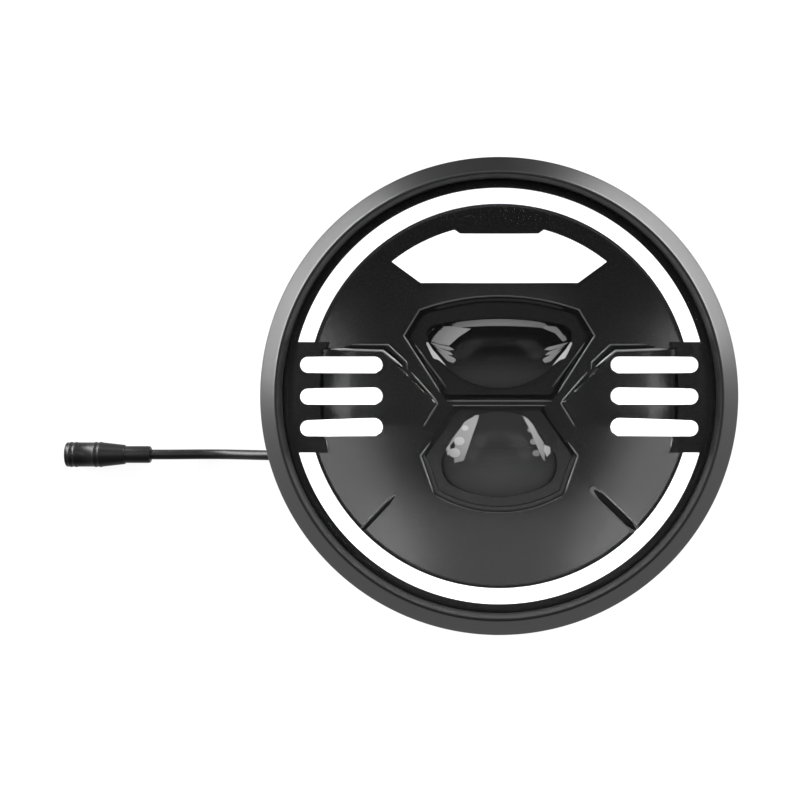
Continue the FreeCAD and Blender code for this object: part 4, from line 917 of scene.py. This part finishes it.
# %% Black mouldings
finishes = {
    "bezel_black": plain("bezel_black", (0.003, 0.003, 0.0031), 0.31, grain=1500.0),
    "lip_black": plain("lip_black", (0.003, 0.003, 0.0031), 0.6, grain=1500.0, specular=0.12),
    "black_rubber": plain("black_rubber", (0.02, 0.02, 0.02), 0.7, depth=0.00003),
    "fascia_black": plain("fascia_black", (0.0016, 0.0016, 0.0017), 0.16, depth=polished, specular=0.34),
    # Ridge tubes: grey lighter than the black fascia, a painted highlight on real ridges.
    "ridge_black": plain("ridge_black", (0.06, 0.06, 0.061), 0.3, 0.2, depth=polished, specular=0.9),
    "ridge_bright": plain("ridge_bright", (0.2, 0.2, 0.202), 0.3, 0.6, depth=polished, specular=0.9),
    "ridge_faint": plain("ridge_faint", (0.03, 0.03, 0.03), 0.4, depth=polished, specular=0.2),
    # Bevel tubes: grey lighter than the fascia, painted light over the bevels' shade.
    "bevel_soft": plain("bevel_soft", (0.018, 0.018, 0.018), 0.7, depth=polished, specular=0.05),
    "bevel_dark": plain("bevel_dark", (0.024, 0.024, 0.024), 0.5, depth=polished, specular=0.1),
    # Hollow tubes: matt black, painted shade.
    "hollow_black": plain("hollow_black", (0.002, 0.002, 0.002), 0.8, depth=polished, specular=0.05),
}
print("black mouldings:", len(finishes))

# %% Grey levels of the painted reflections
reflection_levels = {
    "facet_dim": (0.17, 0.45), "facet_mid": (0.26, 0.4), "facet_side": (0.2, 0.4),
    "facet_low": (0.13, 0.45), "facet_bright": (0.8, 0.4), "facet_light": (0.34, 0.4),
}
for name, (level, roughness) in reflection_levels.items():
    finishes[name] = plain(name, (level, level, level), roughness, depth=fine_grain, specular=0.3)
print("reflection finishes:", len(reflection_levels))

# %% Inner pieces, metals and seals
finishes |= {
    "black_plastic": plain("black_plastic", (0.018, 0.018, 0.018), 0.5, depth=0.00002),
    "reflector_chrome": plain("reflector_chrome", (0.78, 0.78, 0.8), 0.12, 1.0, depth=fine_grain),
    "bracket_steel": plain("bracket_steel", (0.05, 0.05, 0.052), 0.45, 0.6, depth=0.00002),
    "board_white": plain("board_white", (0.62, 0.63, 0.6), 0.45),
    "board_green": plain("board_green", (0.02, 0.1, 0.045), 0.4),
    "led_yellow": plain("led_yellow", (0.8, 0.62, 0.12), 0.4),
    "pad_grey": plain("pad_grey", (0.42, 0.44, 0.47), 0.7),
    "bare_aluminium": plain("bare_aluminium", (0.6, 0.61, 0.62), 0.35, 1.0),
    "cast_black": plain("cast_black", (0.018, 0.018, 0.019), 0.52, grain=900.0, depth=0.00005),
    "ferrite_grey": plain("ferrite_grey", (0.08, 0.08, 0.085), 0.6),
    "plug_white": plain("plug_white", (0.7, 0.7, 0.66), 0.4),
    "lead_pvc": plain("lead_pvc", (0.004, 0.004, 0.0042), 0.36, depth=0.00001, specular=0.16),
    "steel_zinc": plain("steel_zinc", (0.55, 0.56, 0.57), 0.32, 1.0),
    "nylon_white": plain("nylon_white", (0.7, 0.69, 0.64), 0.45),
    "connector_tpu": plain("connector_tpu", (0.004, 0.004, 0.0042), 0.36, depth=0.00001, specular=0.14),
    "seal_orange": plain("seal_orange", (0.65, 0.16, 0.02), 0.55),
    "brass_contact": plain("brass_contact", (0.72, 0.5, 0.2), 0.3, 1.0),
}
print("plain finishes:", len(finishes))

# %% [markdown]
# ## Finishes that let light through
# The light guides glow evenly. They could be lit from behind through a cloudy plastic, which is slow
# and noisy to render, so they emit their light themselves. The front lens is nearly invisible: a low
# alpha leaves its reflections. The projector lenses are thick glass over a dark chamber, so they are
# almost black, with a painted reflection: a paler tone that grows towards the foot of each lens.


# %% Finishes that let light through
def lit_plastic():
    """Milky light guide that glows evenly; a faint cloud keeps it from looking painted."""
    finish = Finish("light_guide")
    cloud = finish.noise(60.0, 2.0)
    return finish.surface(
        Base_Color=finish.mix(cloud, grey(0.86), grey(0.92)),
        Roughness=cloud * 0.1 + 0.25,
        Emission_Color=grey(1.0),
        Emission_Strength=0.85,
        Coat_Weight=0.0,
    )


def clear(name, level, alpha, roughness, specular):
    """Clear moulding that is seen by its reflections and a little of its own tone."""
    finish = Finish(name)
    cloud = finish.noise(30.0, 2.0)
    return finish.surface(
        Base_Color=finish.mix(cloud, grey(level * 0.9), grey(level * 1.1)),
        Roughness=cloud * 0.02 + roughness,
        Alpha=alpha,
        Specular_IOR_Level=specular,
    )


def dark_glass():
    """Thick clear lens over a dark chamber: black at the top of each lens, with a painted reflection that
    grows paler towards its foot.
    """
    finish = Finish("projector_clear")
    where, (x, y, z) = finish.place()
    cloud = finish.noise(30.0, 2.0, where)
    # Painted reflection: the colour grows paler towards the foot of each lens.
    upper = y.between(0.017, 0.003) * 0.04
    lower = y.between(-0.016, -0.034) * 0.038 + 0.015
    below = y.between(0.0, -0.002)
    level = (upper * (1.0 - below) + lower * below + 0.002) * (cloud * 0.2 + 0.9)
    return finish.surface(
        Base_Color=finish.mix(level, grey(0.0), grey(1.0)),
        Roughness=cloud * 0.02 + 0.12,
        Alpha=0.95,
        Specular_IOR_Level=0.05,
    )


finishes["light_guide"] = lit_plastic()
finishes["clear_cover"] = clear("clear_cover", 0.02, 0.04, 0.03, 0.1)
finishes["projector_clear"] = dark_glass()
print("all finishes:", len(finishes))

# %% [markdown]
# ## Dressing the pieces
# Each piece of the imported model has a slot in its record, and the slot's name is the name of its
# finish. The new pieces are given their finishes by name.

# %% Dressing
slot_of = {part["node"]: part["material_slot"] for part in frame["record"]["subparts"]}
for name, node in frame["nodes"].items():
    if not node.hide_render:
        dress(node, finishes[slot_of[name]])
dress(bezel, finishes["bezel_black"])
dress(lip, finishes["lip_black"])
dress(fascia, finishes["fascia_black"])
dress(lead, finishes["lead_pvc"])
dress(connector, finishes["connector_tpu"])
for name, piece in ridges:
    dress(piece, finishes[name])
for name, piece in reflection_pieces:
    dress(piece, finishes[name])
print("finishes in use:", len([finish for finish in finishes.values() if finish.users]))

# %% [markdown]
# ## Floor, light and sky
# The photograph has a plain white ground. More lamps could bleach it, but they would bleach the lamp
# too, so the floor and the sky are white only to the camera and through clear pieces, and the floor
# also to glossy ones. A share of plain diffuse keeps the lamp's shadow. The photographer's dark side
# of the room lies beyond the lamp's top, where the bezel mirrors it, so the floor has a dark patch
# there that only glossy surfaces see.
#
# The dish is a shallow mirror: each spot shows what stands on the other side, up to 27 degrees from
# straight up. One box over the top edge lights its lower half, one nearly overhead lights its middle,
# and two over the upper corners draw the pale fields beside and below the light bars. Two strong low
# boxes draw the bezel's bright arcs.


# %% Floor
def floor_finish():
    """White to the camera, to gloss and through clear pieces, and plain matt to everything else."""
    finish = Finish("floor")
    camera_ray, glossy_ray, through_ray = [finish.node("ShaderNodeLightPath", output=k) for k in (0, 3, 5)]
    seen = camera_ray * 0.93 + glossy_ray + through_ray * 0.93
    x, y, z = finish.place()[1]
    aside = x + 0.05
    patch = y.between(0.1, 0.2) * aside.math("ABSOLUTE", aside).between(0.22, 0.1) * glossy_ray
    matt = finish.node("ShaderNodeBsdfDiffuse", sockets={"Color": grey(0.9)})
    tone = finish.mix(patch, grey(1.0), grey(0.0))
    white = finish.node("ShaderNodeEmission", sockets={"Color": tone, "Strength": 1.0})
    blend = finish.node("ShaderNodeMixShader", sockets={0: seen, 1: matt, 2: white})
    finish.join(finish.tree.nodes["Material Output"].inputs["Surface"], blend)
    return finish.material


floor_mesh = bmesh.new()
bmesh.ops.create_grid(floor_mesh, x_segments=1, y_segments=1, size=4000.0)
floor = finished("floor", floor_mesh, None)
floor.data.materials.append(floor_finish())
print("floor laid")


# %% Soft boxes
aim_height = 0.055


def soft_box(name, azimuth, zenith, distance, width, height, radiance):
    """Area light aimed at the lamp; its power follows from its size and its face's brightness."""
    data = bpy.data.lights.new(name, "AREA")
    data.shape = "RECTANGLE"
    data.size = width
    data.size_y = height
    data.energy = radiance * width * height * math.pi
    lamp = bpy.data.objects.new(name, data)
    turn, lean = math.radians(azimuth), math.radians(zenith)
    way = Vector((math.sin(lean) * math.cos(turn), math.sin(lean) * math.sin(turn), math.cos(lean)))
    lamp.location = Vector((0.0, 0.0, aim_height)) + way * distance
    lamp.rotation_euler = (-way).to_track_quat("-Z", "Y").to_euler()
    bpy.context.scene.collection.objects.link(lamp)


soft_box("over_top", 90.0, 22.0, 1.0, 0.6, 0.3, 2.1)
soft_box("over_foot", 270.0, 7.0, 0.8, 0.2, 0.12, 1.6)
for azimuth in (22.0, 158.0):
    soft_box("over_side", azimuth, 23.0, 0.9, 0.54, 0.22, 5.2)
for azimuth, radiance in ((40.0, 38.0), (148.0, 36.0)):
    soft_box("low_side", azimuth, 79.7, 0.84, 0.92, 0.38, radiance)

# %% Sky
plain_sky = 0.32
world = bpy.data.worlds.new("sky")
world.use_nodes = True
sky = world.node_tree
ray = sky.nodes.new("ShaderNodeLightPath")
seen = sky.nodes.new("ShaderNodeMath")
seen.operation = "MAXIMUM"
strength = sky.nodes.new("ShaderNodeMapRange")
strength.inputs["To Min"].default_value = plain_sky
strength.inputs["To Max"].default_value = 1.0
background = sky.nodes["Background"]
background.inputs["Color"].default_value = grey(1.0)
sky.links.new(ray.outputs["Is Camera Ray"], seen.inputs[0])
sky.links.new(ray.outputs["Is Transmission Ray"], seen.inputs[1])
sky.links.new(seen.outputs[0], strength.inputs["Value"])
sky.links.new(strength.outputs["Result"], background.inputs["Strength"])
bpy.context.scene.world = world
print("light of the sky:", plain_sky)
